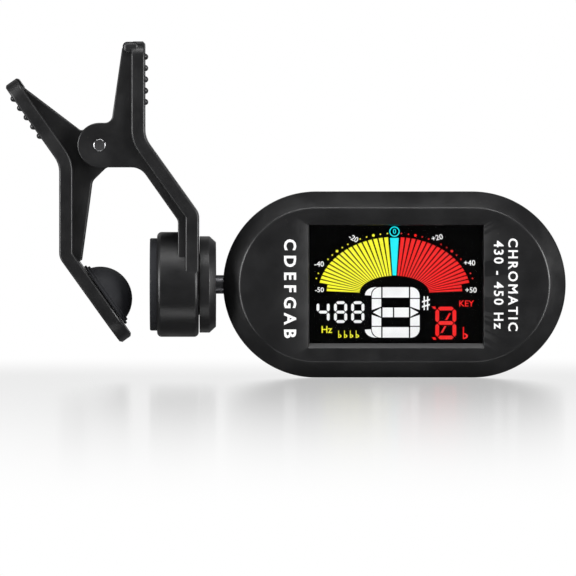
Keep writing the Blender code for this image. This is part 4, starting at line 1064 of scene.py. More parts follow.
def group(name, inputs, outputs):
    """An empty node group with named number, vector or colour sockets."""
    tree = bpy.data.node_groups.new(name, "ShaderNodeTree")
    for direction, sockets in (("INPUT", inputs), ("OUTPUT", outputs)):
        for label, kind, *default in sockets:
            socket = tree.interface.new_socket(label, in_out=direction, socket_type=kind)
            if default:
                socket.default_value = default[0]
    start = put(tree, "NodeGroupInput", (-900, 0))
    end = put(tree, "NodeGroupOutput", (700, 0))
    return tree, start, end


def maths(tree, place, operation, first, second=None, clamp=False):
    """A Math node whose inputs are sockets or numbers; gives its output."""
    made = put(tree, "ShaderNodeMath", place, {"operation": operation, "use_clamp": clamp})
    for index, value in enumerate((first, second)):
        if value is None:
            continue
        if isinstance(value, bpy.types.NodeSocket):
            tree.links.new(value, made.inputs[index])
        else:
            made.inputs[index].default_value = value
    return made.outputs[0]


def ramp(tree, place, value, low_edge, high_edge, to_low=0.0, to_high=1.0):
    """A Map Range node with smooth ends; gives its output."""
    made = put(tree, "ShaderNodeMapRange", place, {"interpolation_type": "SMOOTHSTEP"})
    tree.links.new(value, made.inputs["Value"])
    for label, number in (
        ("From Min", low_edge), ("From Max", high_edge), ("To Min", to_low), ("To Max", to_high)
    ):
        made.inputs[label].default_value = number
    return made.outputs["Result"]


def noise(tree, place, vector, scale, detail=2.0, roughness=0.5, distortion=0.0):
    made = put(
        tree,
        "ShaderNodeTexNoise",
        place,
        None,
        {"Detail": detail, "Roughness": roughness, "Distortion": distortion},
    )
    tree.links.new(vector, made.inputs["Vector"])
    if isinstance(scale, bpy.types.NodeSocket):
        tree.links.new(scale, made.inputs["Scale"])
    else:
        made.inputs["Scale"].default_value = scale
    return made.outputs["Fac"]


def moulded_surface():
    """Fine grain, broad patches, dust specks and hairline scuffs of a moulded part."""
    tree, start, end = group(
        "Moulded surface",
        [("Vector", "NodeSocketVector"), ("Grain scale", "NodeSocketFloat", 9000.0)],
        [
            ("Height", "NodeSocketFloat"),
            ("Patches", "NodeSocketFloat"),
            ("Dust", "NodeSocketFloat"),
            ("Scuffs", "NodeSocketFloat"),
        ],
    )
    vector = start.outputs["Vector"]
    grain = noise(tree, (-600, 300), vector, start.outputs["Grain scale"], 2.0, 0.6)
    patches = noise(tree, (-600, 100), vector, 170.0, 4.0, 0.6)
    specks = put(tree, "ShaderNodeTexVoronoi", (-600, -100), None, {"Scale": 900.0})
    tree.links.new(vector, specks.inputs["Vector"])
    near = ramp(tree, (-350, -100), specks.outputs["Distance"], 0.05, 0.14, 1.0, 0.0)
    where = ramp(tree, (-350, -300), noise(tree, (-600, -300), vector, 420.0, 2.0), 0.6, 0.72)
    dust = maths(tree, (-100, -150), "MULTIPLY", near, where)
    stretch = put(
        tree,
        "ShaderNodeMapping",
        (-800, -500),
        None,
        {"Rotation": (0.2, 0.5, 0.3), "Scale": (4200.0, 4200.0, 90.0)},
    )
    tree.links.new(vector, stretch.inputs["Vector"])
    lines = noise(tree, (-600, -500), stretch.outputs["Vector"], 1.0, 1.0, 0.5)
    scuffs = maths(
        tree, (-100, -450), "MULTIPLY", ramp(tree, (-350, -500), lines, 0.7, 0.78),
        ramp(tree, (-350, -700), patches, 0.5, 0.65),
    )
    for label, value in (("Height", grain), ("Patches", patches), ("Dust", dust), ("Scuffs", scuffs)):
        tree.links.new(value, end.inputs[label])
    return tree


def worn_edges():
    """Where a rounded edge is rubbed: the edge mark of the mesh, broken up by noise."""
    tree, start, end = group(
        "Worn edges",
        [
            ("Vector", "NodeSocketVector"),
            ("Mark", "NodeSocketFloat", 0.0),
            ("Amount", "NodeSocketFloat", 0.5),
        ],
        [("Mask", "NodeSocketFloat")],
    )
    broken = ramp(
        tree, (-400, 0), noise(tree, (-650, 0), start.outputs["Vector"], 900.0, 4.0, 0.65), 0.35, 0.7
    )
    edge = maths(tree, (-150, 0), "MULTIPLY", broken, start.outputs["Mark"])
    mask = maths(tree, (100, 0), "MULTIPLY", edge, start.outputs["Amount"], True)
    tree.links.new(mask, end.inputs["Mask"])
    return tree


def shared(make, name):
    return bpy.data.node_groups.get(name) or make()


def surface(
    name,
    colour,
    rubbed,
    roughness,
    spread,
    bump,
    grain_scale,
    metallic=0.0,
    specular=0.5,
    wear=0.5,
    dust=0.12,
    coat=0.0,
):
    """A material of one finish: colour and roughness vary with the patches, dust, scuffs and wear."""
    made = bpy.data.materials.new(name)
    made.use_nodes = True
    tree = made.node_tree
    shader = tree.nodes["Principled BSDF"]
    shader.inputs["Specular IOR Level"].default_value = specular
    shader.inputs["Metallic"].default_value = metallic
    shader.inputs["Coat Weight"].default_value = coat
    shader.inputs["Coat Roughness"].default_value = 0.08
    coordinates = put(tree, "ShaderNodeTexCoord", (-1300, 0)).outputs["Object"]
    grain = put(
        tree, "ShaderNodeGroup", (-1050, 0), {"node_tree": shared(moulded_surface, "Moulded surface")}
    )
    edges = put(tree, "ShaderNodeGroup", (-1050, -350), {"node_tree": shared(worn_edges, "Worn edges")})
    mark = put(tree, "ShaderNodeAttribute", (-1300, -350), {"attribute_name": "wear"})
    tree.links.new(coordinates, grain.inputs["Vector"])
    tree.links.new(coordinates, edges.inputs["Vector"])
    tree.links.new(mark.outputs["Fac"], edges.inputs["Mark"])
    grain.inputs["Grain scale"].default_value = grain_scale
    edges.inputs["Amount"].default_value = wear

    tint = put(tree, "ShaderNodeMix", (-700, 200), {"data_type": "RGBA"})
    tint.inputs["A"].default_value = tuple(channel * 0.82 for channel in colour[:3]) + (1.0,)
    tint.inputs["B"].default_value = tuple(min(channel * 1.18, 1) for channel in colour[:3]) + (1.0,)
    tree.links.new(grain.outputs["Patches"], tint.inputs["Factor"])
    worn = put(tree, "ShaderNodeMix", (-450, 200), {"data_type": "RGBA"})
    worn.inputs["B"].default_value = rubbed
    tree.links.new(edges.outputs["Mask"], worn.inputs["Factor"])
    tree.links.new(tint.outputs["Result"], worn.inputs["A"])
    dusty = put(tree, "ShaderNodeMix", (-200, 200), {"data_type": "RGBA"})
    dusty.inputs["B"].default_value = linear(150, 145, 138)
    tree.links.new(worn.outputs["Result"], dusty.inputs["A"])
    tree.links.new(maths(tree, (-450, 0), "MULTIPLY", grain.outputs["Dust"], dust), dusty.inputs["Factor"])
    tree.links.new(dusty.outputs["Result"], shader.inputs["Base Color"])

    broad = ramp(
        tree, (-700, -250), grain.outputs["Patches"], 0.3, 0.7, roughness - spread, roughness + spread
    )
    scuffed = maths(tree, (-700, -50), "MULTIPLY", grain.outputs["Scuffs"], 0.12)
    polish = maths(tree, (-700, -450), "MULTIPLY", edges.outputs["Mask"], -0.35 * roughness)
    level = maths(tree, (-450, -250), "ADD", broad, scuffed)
    level = maths(tree, (-200, -250), "ADD", level, polish, True)
    tree.links.new(level, shader.inputs["Roughness"])
    relief = put(tree, "ShaderNodeBump", (-200, -500), None, {"Strength": bump, "Distance": 0.00003})
    tree.links.new(grain.outputs["Height"], relief.inputs["Height"])
    tree.links.new(relief.outputs["Normal"], shader.inputs["Normal"])
    return made


# name: (colour, rubbed colour, roughness, its spread, bump, grain scale, metallic, specular, wear,
# dust, coat), with each colour as red, green and blue levels up to 255
FINISHES = {
    "case plastic": ((22, 22, 23), (52, 52, 54), 0.36, 0.07, 0.10, 9000.0, 0.0, 0.5, 0.35, 0.10, 0.0),
    "lever plastic": ((21, 21, 22), (50, 50, 52), 0.40, 0.08, 0.16, 7000.0, 0.0, 0.5, 0.35, 0.12, 0.0),
    "pad rubber": ((33, 34, 38), (52, 53, 57), 0.72, 0.08, 0.30, 5000.0, 0.0, 0.4, 0.30, 0.35, 0.0),
    "button rubber": ((46, 47, 50), (82, 82, 86), 0.62, 0.08, 0.22, 6500.0, 0.0, 0.45, 0.35, 0.25, 0.0),
    "spring steel": ((168, 170, 174), (214, 214, 216), 0.26, 0.06, 0.05, 6000.0, 1.0, 0.5, 0.40, 0.05, 0.0),
    "pin steel": ((176, 176, 178), (220, 220, 222), 0.22, 0.06, 0.06, 5000.0, 1.0, 0.5, 0.40, 0.05, 0.0),
    "dark zinc": ((112, 112, 115), (150, 150, 152), 0.42, 0.06, 0.08, 6000.0, 1.0, 0.5, 0.45, 0.06, 0.0),
    "screw steel": ((70, 71, 74), (150, 150, 152), 0.34, 0.06, 0.08, 6000.0, 1.0, 0.5, 0.60, 0.05, 0.0),
    "brass": ((196, 160, 92), (226, 198, 138), 0.28, 0.08, 0.06, 5000.0, 1.0, 0.5, 0.40, 0.05, 0.0),
    "silvered ceramic": (
        (214, 211, 204), (236, 234, 228), 0.55, 0.06, 0.12, 8000.0, 0.0, 0.4, 0.20, 0.05, 0.0
    ),
    "lead vinyl": ((150, 36, 32), (180, 70, 64), 0.46, 0.06, 0.10, 6000.0, 0.0, 0.5, 0.20, 0.05, 0.0),
    "nylon": ((212, 210, 200), (232, 230, 222), 0.48, 0.06, 0.10, 8000.0, 0.0, 0.45, 0.20, 0.08, 0.0),
    "display glass": ((2, 2, 3), (8, 8, 9), 0.30, 0.02, 0.01, 4000.0, 0.0, 0.1, 0.0, 0.0, 0.0),
    "light guide": ((226, 228, 232), (238, 238, 240), 0.42, 0.05, 0.06, 8000.0, 0.0, 0.5, 0.10, 0.04, 0.0),
    "frame plastic": (
        (196, 197, 199), (222, 222, 224), 0.45, 0.05, 0.08, 8000.0, 0.0, 0.5, 0.15, 0.05, 0.0
    ),
    "connector rubber": ((70, 66, 72), (96, 92, 98), 0.66, 0.06, 0.18, 6000.0, 0.0, 0.4, 0.10, 0.06, 0.0),
    "solder mask": ((22, 74, 44), (60, 104, 70), 0.34, 0.06, 0.06, 6000.0, 0.0, 0.5, 0.15, 0.06, 0.0),
    "chip resin": ((34, 34, 36), (70, 70, 72), 0.56, 0.06, 0.16, 9000.0, 0.0, 0.4, 0.20, 0.06, 0.0),
    "nickel can": ((190, 188, 182), (222, 221, 216), 0.24, 0.06, 0.05, 5000.0, 1.0, 0.5, 0.30, 0.04, 0.0),
    "white plastic": (
        (214, 214, 212), (232, 232, 230), 0.44, 0.06, 0.10, 8000.0, 0.0, 0.5, 0.15, 0.06, 0.0
    ),
    "print ink": ((246, 246, 246), (200, 200, 200), 0.60, 0.05, 0.08, 9000.0, 0.0, 0.4, 0.0, 0.05, 0.0),
}


def finish(name):
    made = bpy.data.materials.get(name)
    if made:
        return made
    colour, rubbed, *rest = FINISHES[name]
    return surface(name, linear(*colour), linear(*rubbed), *rest)


def clear_window():
    """Clear acrylic: full transmission, with a polish that is a little uneven."""
    made = bpy.data.materials.get("clear window")
    if made:
        return made
    made = bpy.data.materials.new("clear window")
    made.use_nodes = True
    tree = made.node_tree
    shader = tree.nodes["Principled BSDF"]
    shader.inputs["Base Color"].default_value = (0.97, 0.98, 0.98, 1.0)
    shader.inputs["Transmission Weight"].default_value = 1.0
    shader.inputs["IOR"].default_value = 1.1
    shader.inputs["Specular IOR Level"].default_value = 0.2
    coordinates = put(tree, "ShaderNodeTexCoord", (-900, 0)).outputs["Object"]
    grain = put(
        tree, "ShaderNodeGroup", (-650, 0), {"node_tree": shared(moulded_surface, "Moulded surface")}
    )
    tree.links.new(coordinates, grain.inputs["Vector"])
    tree.links.new(
        ramp(tree, (-400, 0), grain.outputs["Patches"], 0.3, 0.8, 0.02, 0.06), shader.inputs["Roughness"]
    )
    return made


def lit_segment(name, colour, strength):
    """A lit display segment: its glow falls off a little unevenly across the panel."""
    made = bpy.data.materials.get(name)
    if made:
        return made
    made = bpy.data.materials.new(name)
    made.use_nodes = True
    tree = made.node_tree
    shader = tree.nodes["Principled BSDF"]
    shader.inputs["Base Color"].default_value = (0.01, 0.01, 0.01, 1.0)
    shader.inputs["Roughness"].default_value = 0.5
    shader.inputs["Emission Strength"].default_value = strength
    coordinates = put(tree, "ShaderNodeTexCoord", (-900, 0)).outputs["Object"]
    uneven = noise(tree, (-700, 0), coordinates, 220.0, 2.0)
    glow = put(tree, "ShaderNodeMix", (-400, 0), {"data_type": "RGBA"})
    glow.inputs["A"].default_value = tuple(channel * 0.93 for channel in colour[:3]) + (1.0,)
    glow.inputs["B"].default_value = (*colour[:3], 1.0)
    tree.links.new(ramp(tree, (-550, 150), uneven, 0.35, 0.6), glow.inputs["Factor"])
    tree.links.new(glow.outputs["Result"], shader.inputs["Emission Color"])
    return made


def dress(piece, made):
    piece.data.materials.clear()
    piece.data.materials.append(made)
    return piece


def dress_node(name, finish_name):
    """Gives a fixed node its finish, for the pieces that show as they are."""
    return dress(frame["nodes"][name], finish(finish_name))


def shape_piece(name, shape, body, finish_name, smooth=35.0):
    points, faces = shape
    return dress(mesh_piece(name, points, faces, body, smooth), finish(finish_name))


# The clip


def pad_profile():
    edge = 0.25 * MM
    return soft_profile(
        [
            (1.55 * MM, 0, 0),
            (1.55 * MM, 8.09 * MM, 0.1 * MM),
            (0, 8.09 * MM, edge),
            (0, 7.3 * MM, 0.05 * MM),
            (0.1 * MM, 7.2 * MM, 0.04 * MM),
            (0.1 * MM, 7.0 * MM, 0.04 * MM),
            (0, 6.9 * MM, 0.05 * MM),
            (0, 0, 0),
        ]
    )


def jaw_seat():
    """The middle of the jaw pad's seat and the direction that it faces."""
    normal = Vector((math.cos(SLOPE), 0, math.sin(SLOPE)))
    down = Vector((math.sin(SLOPE), 0, -math.cos(SLOPE)))
    outer = Vector((-15.77 * MM, 0, 4.73 * MM)) + down * 9.97 * MM
    return outer + normal * PLATE, normal


def dome_profile():
    """A spherical cap of radius 5.6 mm and height 3.8 mm on two shallow steps, with a peg behind."""
    radius, height, base = 5.6 * MM, 3.8 * MM, 1.0 * MM
    centre = base + height - radius
    full = math.acos(1 - height / radius)
    angle = np.linspace(0, full, 30)
    dome = np.stack([centre + radius * np.cos(angle), radius * np.sin(angle)], axis=1)
    steps = soft_profile(
        [
            (base, 5.5 * MM, 0),
            (base, 5.75 * MM, 0.12 * MM),
            (0.575 * MM, 5.75 * MM, 0.06 * MM),
            (0.575 * MM, 6.2 * MM, 0.12 * MM),
            (0.15 * MM, 6.2 * MM, 0.08 * MM),
            (0.15 * MM, 1.5 * MM, 0),
            (-1.4 * MM, 1.5 * MM, 0.2 * MM),
            (-1.4 * MM, 0, 0),
            (0.3 * MM, 0, 0),
        ]
    )
    return np.concatenate([dome, steps[:-1]])


def spring_route():
    """Four close turns about the pin, with a straight leg out to each grip.

    The angle grows evenly while the place along the pin moves evenly from one side to the other."""
    first, last = math.radians(224), math.radians(350 + 1080)
    angle = np.linspace(first, last, 260)
    share = np.linspace(0, 1, 260)
    across, upward = SPRING_RADIUS * np.cos(angle), SPRING_RADIUS * np.sin(angle)
    coil = np.stack([PIVOT.x + across, SPRING_HALF * (1 - 2 * share), PIVOT.z + upward], axis=1)
    leg = np.linspace(1, 0, 24, endpoint=False)[:, None] * SPRING_LEG
    jaw_way = np.array([math.sin(first), 0, -math.cos(first)])
    arm_way = np.array([-math.sin(last), 0, math.cos(last)])
    return np.concatenate([coil[0] + leg * jaw_way, coil, coil[-1] + leg[::-1] * arm_way])


def collar_profile():
    """The collar: chamfered outside, a flared mouth, a spherical lip round the ball and a spigot."""
    start, end = 8.68 * MM, 11.55 * MM
    ball = BALL.x
    inner = 3.45 * MM
    along = np.linspace(8.45 * MM, 9.8 * MM, 8)
    lip = np.stack([along, np.sqrt(inner**2 - (along - ball) ** 2)], axis=1)
    outer = soft_profile(
        [
            (end, 3.75 * MM, 0.1 * MM),
            (end, 8.44 * MM - 1.03 * MM, 0.2 * MM),
            (end - 1.14 * MM, 8.44 * MM, 0.2 * MM),
            (start, 8.44 * MM, 0.12 * MM),
            (start, 5.35 * MM, 0),
            (8.08 * MM, 5.35 * MM, 0.05 * MM),
            (8.08 * MM, 4.0 * MM, 0),
            (9.0 * MM, 3.5 * MM, 0),
        ]
    )
    return np.concatenate([outer[:-1], lip])


def stud_profile():
    """Ball, necked stem, flange and tail, with the lead's bore right through."""
    ball, radius, bore, stem = BALL.x, 3.2 * MM, 0.75 * MM, 1.63 * MM
    flange, tail = 14.4 * MM, 17.6 * MM
    angle = np.linspace(math.asin(stem / radius), math.pi - math.asin(bore / radius), 40)
    sphere = np.stack([ball + radius * np.cos(angle), radius * np.sin(angle)], axis=1)
    rest = soft_profile(
        [
            (tail, bore, 0),
            (tail, stem, 0.15 * MM),
            (flange + MM, stem, 0.05 * MM),
            (flange + MM, 2.6 * MM, 0.15 * MM),
            (flange, 2.6 * MM, 0.15 * MM),
            (flange, stem, 0.1 * MM),
            (ball + 3.0 * MM, stem, 0),
        ]
    )
    return np.concatenate([rest[:-1], sphere])


# Buttons and screws


def button_shape(name):
    """A button: a slightly domed cap with a soft rim, on its flange."""
    start, end = low(name), high(name)
    middle = (start + end) / 2
    radius, flange = 2.5 * MM, 3.2 * MM
    front, top = 0.0, end.y - start.y
    distance = np.linspace(0, 1, 12)
    dome = np.stack([top - 0.12 * MM * distance**2, (radius - 0.45 * MM) * distance], axis=1)
    rest = soft_profile(
        [
            (top - 0.12 * MM, radius - 0.5 * MM, 0),
            (top - 0.14 * MM, radius, 0.28 * MM),
            (front + 0.7 * MM, radius, 0.05 * MM),
            (front + 0.7 * MM, flange, 0.1 * MM),
            (front, flange, 0.1 * MM),
            (front, 0, 0),
            (front + 0.3 * MM, 0, 0),
        ]
    )
    profile = np.concatenate([dome, rest[1:-1]])
    return turned(profile, (middle.x, start.y, middle.z), (0, 1, 0), 72)


def ring_outline(x, z, inner, outer, start, end):
    """A band of a circle between two angles in degrees."""
    angle = arc(start, end, 30)
    place = np.stack([np.cos(angle), np.sin(angle)], axis=1)
    return np.concatenate([outer * place, inner * place[::-1]]) + np.array([x, z])


def button_sign(key, x, z):
    """A raised sign on a button's cap, which looks towards +Y: a switch mark, bars or two arrows."""
    line = 0.17 * MM
    if key == "power":
        outlines = [
            ring_outline(x, z, 0.85 * MM, 1.1 * MM, 125, 415),
            np.array(
                [
                    (x - line, z + 0.3 * MM),
                    (x + line, z + 0.3 * MM),
                    (x + line, z + 1.35 * MM),
                    (x - line, z + 1.35 * MM),
                ]
            ),
        ]
    elif key == "mode":
        outlines = [
            np.array([(x - 0.9 * MM, z + level - line), (x + 0.9 * MM, z + level - line),
                      (x + 0.9 * MM, z + level + line), (x - 0.9 * MM, z + level + line)])
            for level in (-0.7 * MM, 0.0, 0.7 * MM)
        ]
    else:
        outlines = [
            np.array(
                [
                    (x - 0.75 * MM, z + side * 0.35 * MM),
                    (x + 0.75 * MM, z + side * 0.35 * MM),
                    (x, z + side * 1.3 * MM),
                ]
            )
            for side in (1, -1)
        ]
    top = REAR_Y + 0.33 * MM
    return flat_solids(outlines, top - 0.25 * MM, 0.3 * MM)


def screw_shape(name):
    """A countersunk-topped machine screw: rounded head, neck, and a thread of round rings."""
    start, end = low(name), high(name)
    middle = (start + end) / 2
    length, head, shank = end.y - start.y, 1.1 * MM, 0.5 * MM
    neck = length - 0.8 * MM
    ring = np.linspace(neck - 0.2 * MM, 0.6 * MM, 200)
    thread = np.stack(
        [ring, shank - 0.07 * MM * (0.5 + 0.5 * np.cos(ring * 2 * math.pi / (0.4 * MM)))], axis=1
    )
    top = soft_profile(
        [
            (length, 0, 0),
            (length, 0.8 * MM, 0.15 * MM),
            (length - 0.22 * MM, head, 0.12 * MM),
            (neck, head, 0.06 * MM),
            (neck, shank, 0),
        ]
    )
    profile = np.concatenate([top, thread, [(0.1 * MM, 0.15 * MM), (0.0, 0.0)]])
    return turned(profile, (middle.x, start.y, middle.z), (0, 1, 0), 40)


def cross_recess(name, turn):
    """Two crossed slots in a screw's head, turned by an angle in degrees."""
    end = high(name)
    middle = (low(name) + end) / 2
    slots = []
    for angle in (math.radians(turn), math.radians(turn + 90)):
        way = np.array([math.cos(angle), math.sin(angle)])
        side = np.array([-way[1], way[0]])
        half, wide = 0.68 * MM, 0.13 * MM
        outline = np.array(
            [
                -half * way - wide * side,
                half * way - wide * side,
                half * way + wide * side,
                -half * way + wide * side,
            ]
        )
        slots.append(slab(outline + [middle.x, middle.z], end.y - 0.4 * MM, end.y + 0.5 * MM, 0.0))
    return slots


def display_art(bars):
    """(piece, colour, outlines, words) of each colour of segment; words are (text, size, x, z, turn)."""
    pitch = 4.2 * 20 / bars
    angles = np.radians(6.3 + pitch * np.arange(bars))
    spread = math.radians(0.71 * pitch)
    flat_side = [wedge(-angle, spread) for angle in angles] + dot_row(-1)
    flat_side += [
        flat for step in range(4)
        for flat in flat_sign((32.95 + 1.02 * step) * MM, -9.3 * MM, 0.6 * MM, 1.28 * MM)
    ]
    sharp_side = [wedge(angle, spread) for angle in angles] + dot_row(1)
    sharp_side += key_figure(49.9 * MM, -9.55 * MM, 53.55 * MM, -3.85 * MM, 0.66 * MM)
    sharp_side += flat_sign(54.7 * MM, -9.5 * MM, 0.95 * MM, 2.1 * MM)
    middle = [
        np.array([(41.98, 8.15), (43.5, 8.15), (43.08, 1.6), (42.42, 1.6)]) * MM,
        ring_outline(42.76 * MM, 9.25 * MM, 0.72 * MM, 0.9 * MM, 0, 359.5),
    ]
    figures = note_figure() + sharp_sign(48.25 * MM, -3.25 * MM, 1.35 * MM, 2.4 * MM)
    for digit, x in (("4", 29.15), ("8", 32.2), ("8", 35.2)):
        figures += seven_segment(digit, x * MM, -6.7 * MM, 2.3 * MM, 3.8 * MM, 0.5 * MM)
    labels = [
        ("-20", 1.3 * MM, 35.6 * MM, 8.05 * MM, -28.0), ("+20", 1.3 * MM, 50.2 * MM, 8.15 * MM, 12.0),
        ("-40", 1.3 * MM, 29.6 * MM, 3.55 * MM, 0.0), ("+40", 1.3 * MM, 55.85 * MM, 3.75 * MM, 0.0),
        ("-50", 1.2 * MM, 29.65 * MM, -0.95 * MM, 0.0), ("+50", 1.3 * MM, 56.1 * MM, -1.0 * MM, 0.0),
    ]
    return [
        ("flat_side", "flat", flat_side, [("Hz", 1.7 * MM, 30.9 * MM, -7.9 * MM, 0.0)]),
        ("sharp_side", "sharp", sharp_side, [("KEY", 1.5 * MM, 55.3 * MM, -3.35 * MM, 0.0)]),
        ("in_tune", "tuned", middle, [("0", 1.2 * MM, 42.76 * MM, 9.25 * MM, 0.0)]),
        ("figures", "figure", figures, labels),
    ]


INNER_FINISHES = {
    "piezo_disc": "brass",
    "piezo_ceramic": "silvered ceramic",
    "piezo_lead_drum": "lead vinyl",
    "piezo_lead_head": "lead vinyl",
    "lcd_panel": "display glass",
    "backlight": "light guide",
    "lcd_frame": "frame plastic",
    "lcd_connector": "connector rubber",
    "circuit_board": "solder mask",
    "main_chip": "chip resin",
    "crystal": "nickel can",
}


# The studio


def studio_floor(scene):
    """A white floor whose soft reflection is strongest under the tuner and fades towards the front."""
    z = CAD_BOX[0][2] - 0.1 * MM
    near, far, side = -1.6, 1.2, 0.4
    mesh = bpy.data.meshes.new("studio_floor")
    mesh.from_pydata(
        [(-side, near, z), (side, near, z), (side, far, z), (-side, far, z)], [], [(0, 1, 2, 3)]
    )
    sheet = bpy.data.objects.new("studio_floor", mesh)
    bpy.context.scene.collection.objects.link(sheet)
    made = bpy.data.materials.new("studio floor")
    made.use_nodes = True
    tree = made.node_tree
    tree.nodes.remove(tree.nodes["Principled BSDF"])
    path = put(tree, "ShaderNodeLightPath", (-700, 200))
    level = ramp(tree, (-450, 200), path.outputs["Is Camera Ray"], 0.0, 1.0, 0.10, 1.0)
    glow = put(tree, "ShaderNodeEmission", (-200, 200))
    tree.links.new(level, glow.inputs["Strength"])
    gloss = put(
        tree, "ShaderNodeBsdfGlossy", (-200, 0), None, {"Roughness": scene.tuner_stage.floor_roughness}
    )
    place = put(tree, "ShaderNodeSeparateXYZ", (-700, -250))
    tree.links.new(put(tree, "ShaderNodeTexCoord", (-900, -250)).outputs["Object"], place.inputs["Vector"])
    rise = ramp(tree, (-450, -150), place.outputs["Y"], -0.9, 0.0, 0.0, scene.tuner_stage.floor_gloss)
    end = ramp(tree, (-450, -400), place.outputs["Y"], 0.0, 0.25, 1.0, 0.0)
    mix = put(tree, "ShaderNodeMixShader", (50, 100))
    tree.links.new(maths(tree, (-200, -200), "MULTIPLY", rise, end), mix.inputs["Fac"])
    tree.links.new(glow.outputs["Emission"], mix.inputs[1])
    tree.links.new(gloss.outputs["BSDF"], mix.inputs[2])
    tree.links.new(mix.outputs["Shader"], tree.nodes["Material Output"].inputs["Surface"])
    mesh.materials.append(made)


def studio_world(scene):
    """Dim all round for the lights' sake, white low at the back, and white to the camera."""
    world = bpy.data.worlds.new("studio")
    world.use_nodes = True
    tree = world.node_tree
    direction = put(tree, "ShaderNodeTexCoord", (-1100, 0)).outputs["Generated"]
    parts = put(tree, "ShaderNodeSeparateXYZ", (-900, 0))
    tree.links.new(direction, parts.inputs["Vector"])
    behind = ramp(tree, (-650, 100), parts.outputs["Y"], 0.93, 0.98)
    under = ramp(tree, (-650, -150), parts.outputs["Z"], 0.12, 0.3, 1.0, 0.0)
    path = put(tree, "ShaderNodeLightPath", (-650, -400))
    white = maths(tree, (-400, 0), "MULTIPLY", behind, under)
    white = maths(tree, (-200, 0), "MAXIMUM", white, path.outputs["Is Camera Ray"])
    strength = ramp(tree, (0, 0), white, 0.0, 1.0, scene.tuner_stage.room, 1.0)
    tree.links.new(strength, tree.nodes["Background"].inputs["Strength"])
    tree.nodes["Background"].inputs["Color"].default_value = (1.0, 1.0, 1.0, 1.0)
    scene.world = world


def area_light(name, turn, elevation, distance, width, height, power):
    """A soft light aimed at the middle of the tuner, from an azimuth and an elevation in degrees."""
    lamp = bpy.data.lights.new(name, "AREA")
    lamp.shape = "RECTANGLE"
    lamp.size, lamp.size_y = width, height
    lamp.energy = power
    made = bpy.data.objects.new(name, lamp)
    turn, elevation = math.radians(turn), math.radians(elevation)
    out = Vector(
        (math.sin(turn) * math.cos(elevation), -math.cos(turn) * math.cos(elevation), math.sin(elevation))
    )
    middle = Vector(((CAD_BOX[0][0] + CAD_BOX[1][0]) / 2, 0, 0))
    made.location = middle + out * distance
    made.rotation_euler = (-out).to_track_quat("-Z", "Y").to_euler()
    bpy.context.scene.collection.objects.link(made)


VIEW_MIDDLE = (24.15 * MM, 0, -0.63 * MM)


def build_stage(scene):
    """Floor, room, four soft lights, and a long-lens camera that looks a little down at the front."""
    settings = scene.tuner_stage
    studio_floor(scene)
    studio_world(scene)
    area_light("key", 0, 64, 0.5, 0.6, 0.09, settings.key)
    for name, turn in (("left side", -58), ("right side", 58)):
        area_light(name, turn, 8, 0.6, 0.2, 0.3, settings.side)
    area_light("rear", 180, 35, 0.6, 0.6, 0.25, settings.rear)
    scene.view_settings.view_transform = "Standard"
    lens = bpy.data.cameras.new("camera")
    lens.lens = settings.lens
    lens.sensor_width = 36.0
    lens.clip_start, lens.clip_end = 0.01, 10.0
    camera = bpy.data.objects.new("camera", lens)
    distance = settings.view_width * settings.lens / lens.sensor_width
    target = Vector(VIEW_MIDDLE)
    lift = settings.camera_lift
    camera.location = target + distance * Vector((0, -math.cos(lift), math.sin(lift)))
    camera.rotation_euler = (math.pi / 2 - lift, 0, 0)
    bpy.context.scene.collection.objects.link(camera)
    scene.camera = camera


# What a user may change


def colour_choice(name, description, levels):
    return bpy.props.FloatVectorProperty(
        name=name, description=description, subtype="COLOR", size=4, min=0.0, max=1.0, default=linear(
            *levels
        )
    )


class TunerSizes(bpy.types.PropertyGroup):
    """Sizes of the fine detail that the fixed model leaves open."""

    rib_count: bpy.props.IntProperty(
        name="Grip ribs", description="How many ribs each thumb grip has", default=5, min=1, max=6
    )
    edge: bpy.props.FloatProperty(
        name="Plate edge", description="Rounding of the lever plates' edges", default=0.32 * MM, unit="LENGTH"
    )
    lit_thickness: bpy.props.FloatProperty(
        name="Segment thickness",
        description="Thickness of the display's lit segments",
        default=0.04 * MM,
        unit="LENGTH"
    )
    gauge_bars: bpy.props.IntProperty(
        name="Gauge bars", description="How many bars the gauge has on each side", default=20, min=5, max=30
    )


class TunerColours(bpy.types.PropertyGroup):
    """Colours of the display's lit segments."""

    flat_colour: colour_choice("Flat side", "Colour of the gauge's left side", (255, 250, 44))
    sharp_colour: colour_choice("Sharp side", "Colour of the gauge's right side", (243, 12, 10))
    tuned_colour: colour_choice("In tune", "Colour of the gauge's middle bar", (14, 240, 250))
    figure_colour: colour_choice("Figures", "Colour of the note, the labels and the pitch", (250, 250, 250))


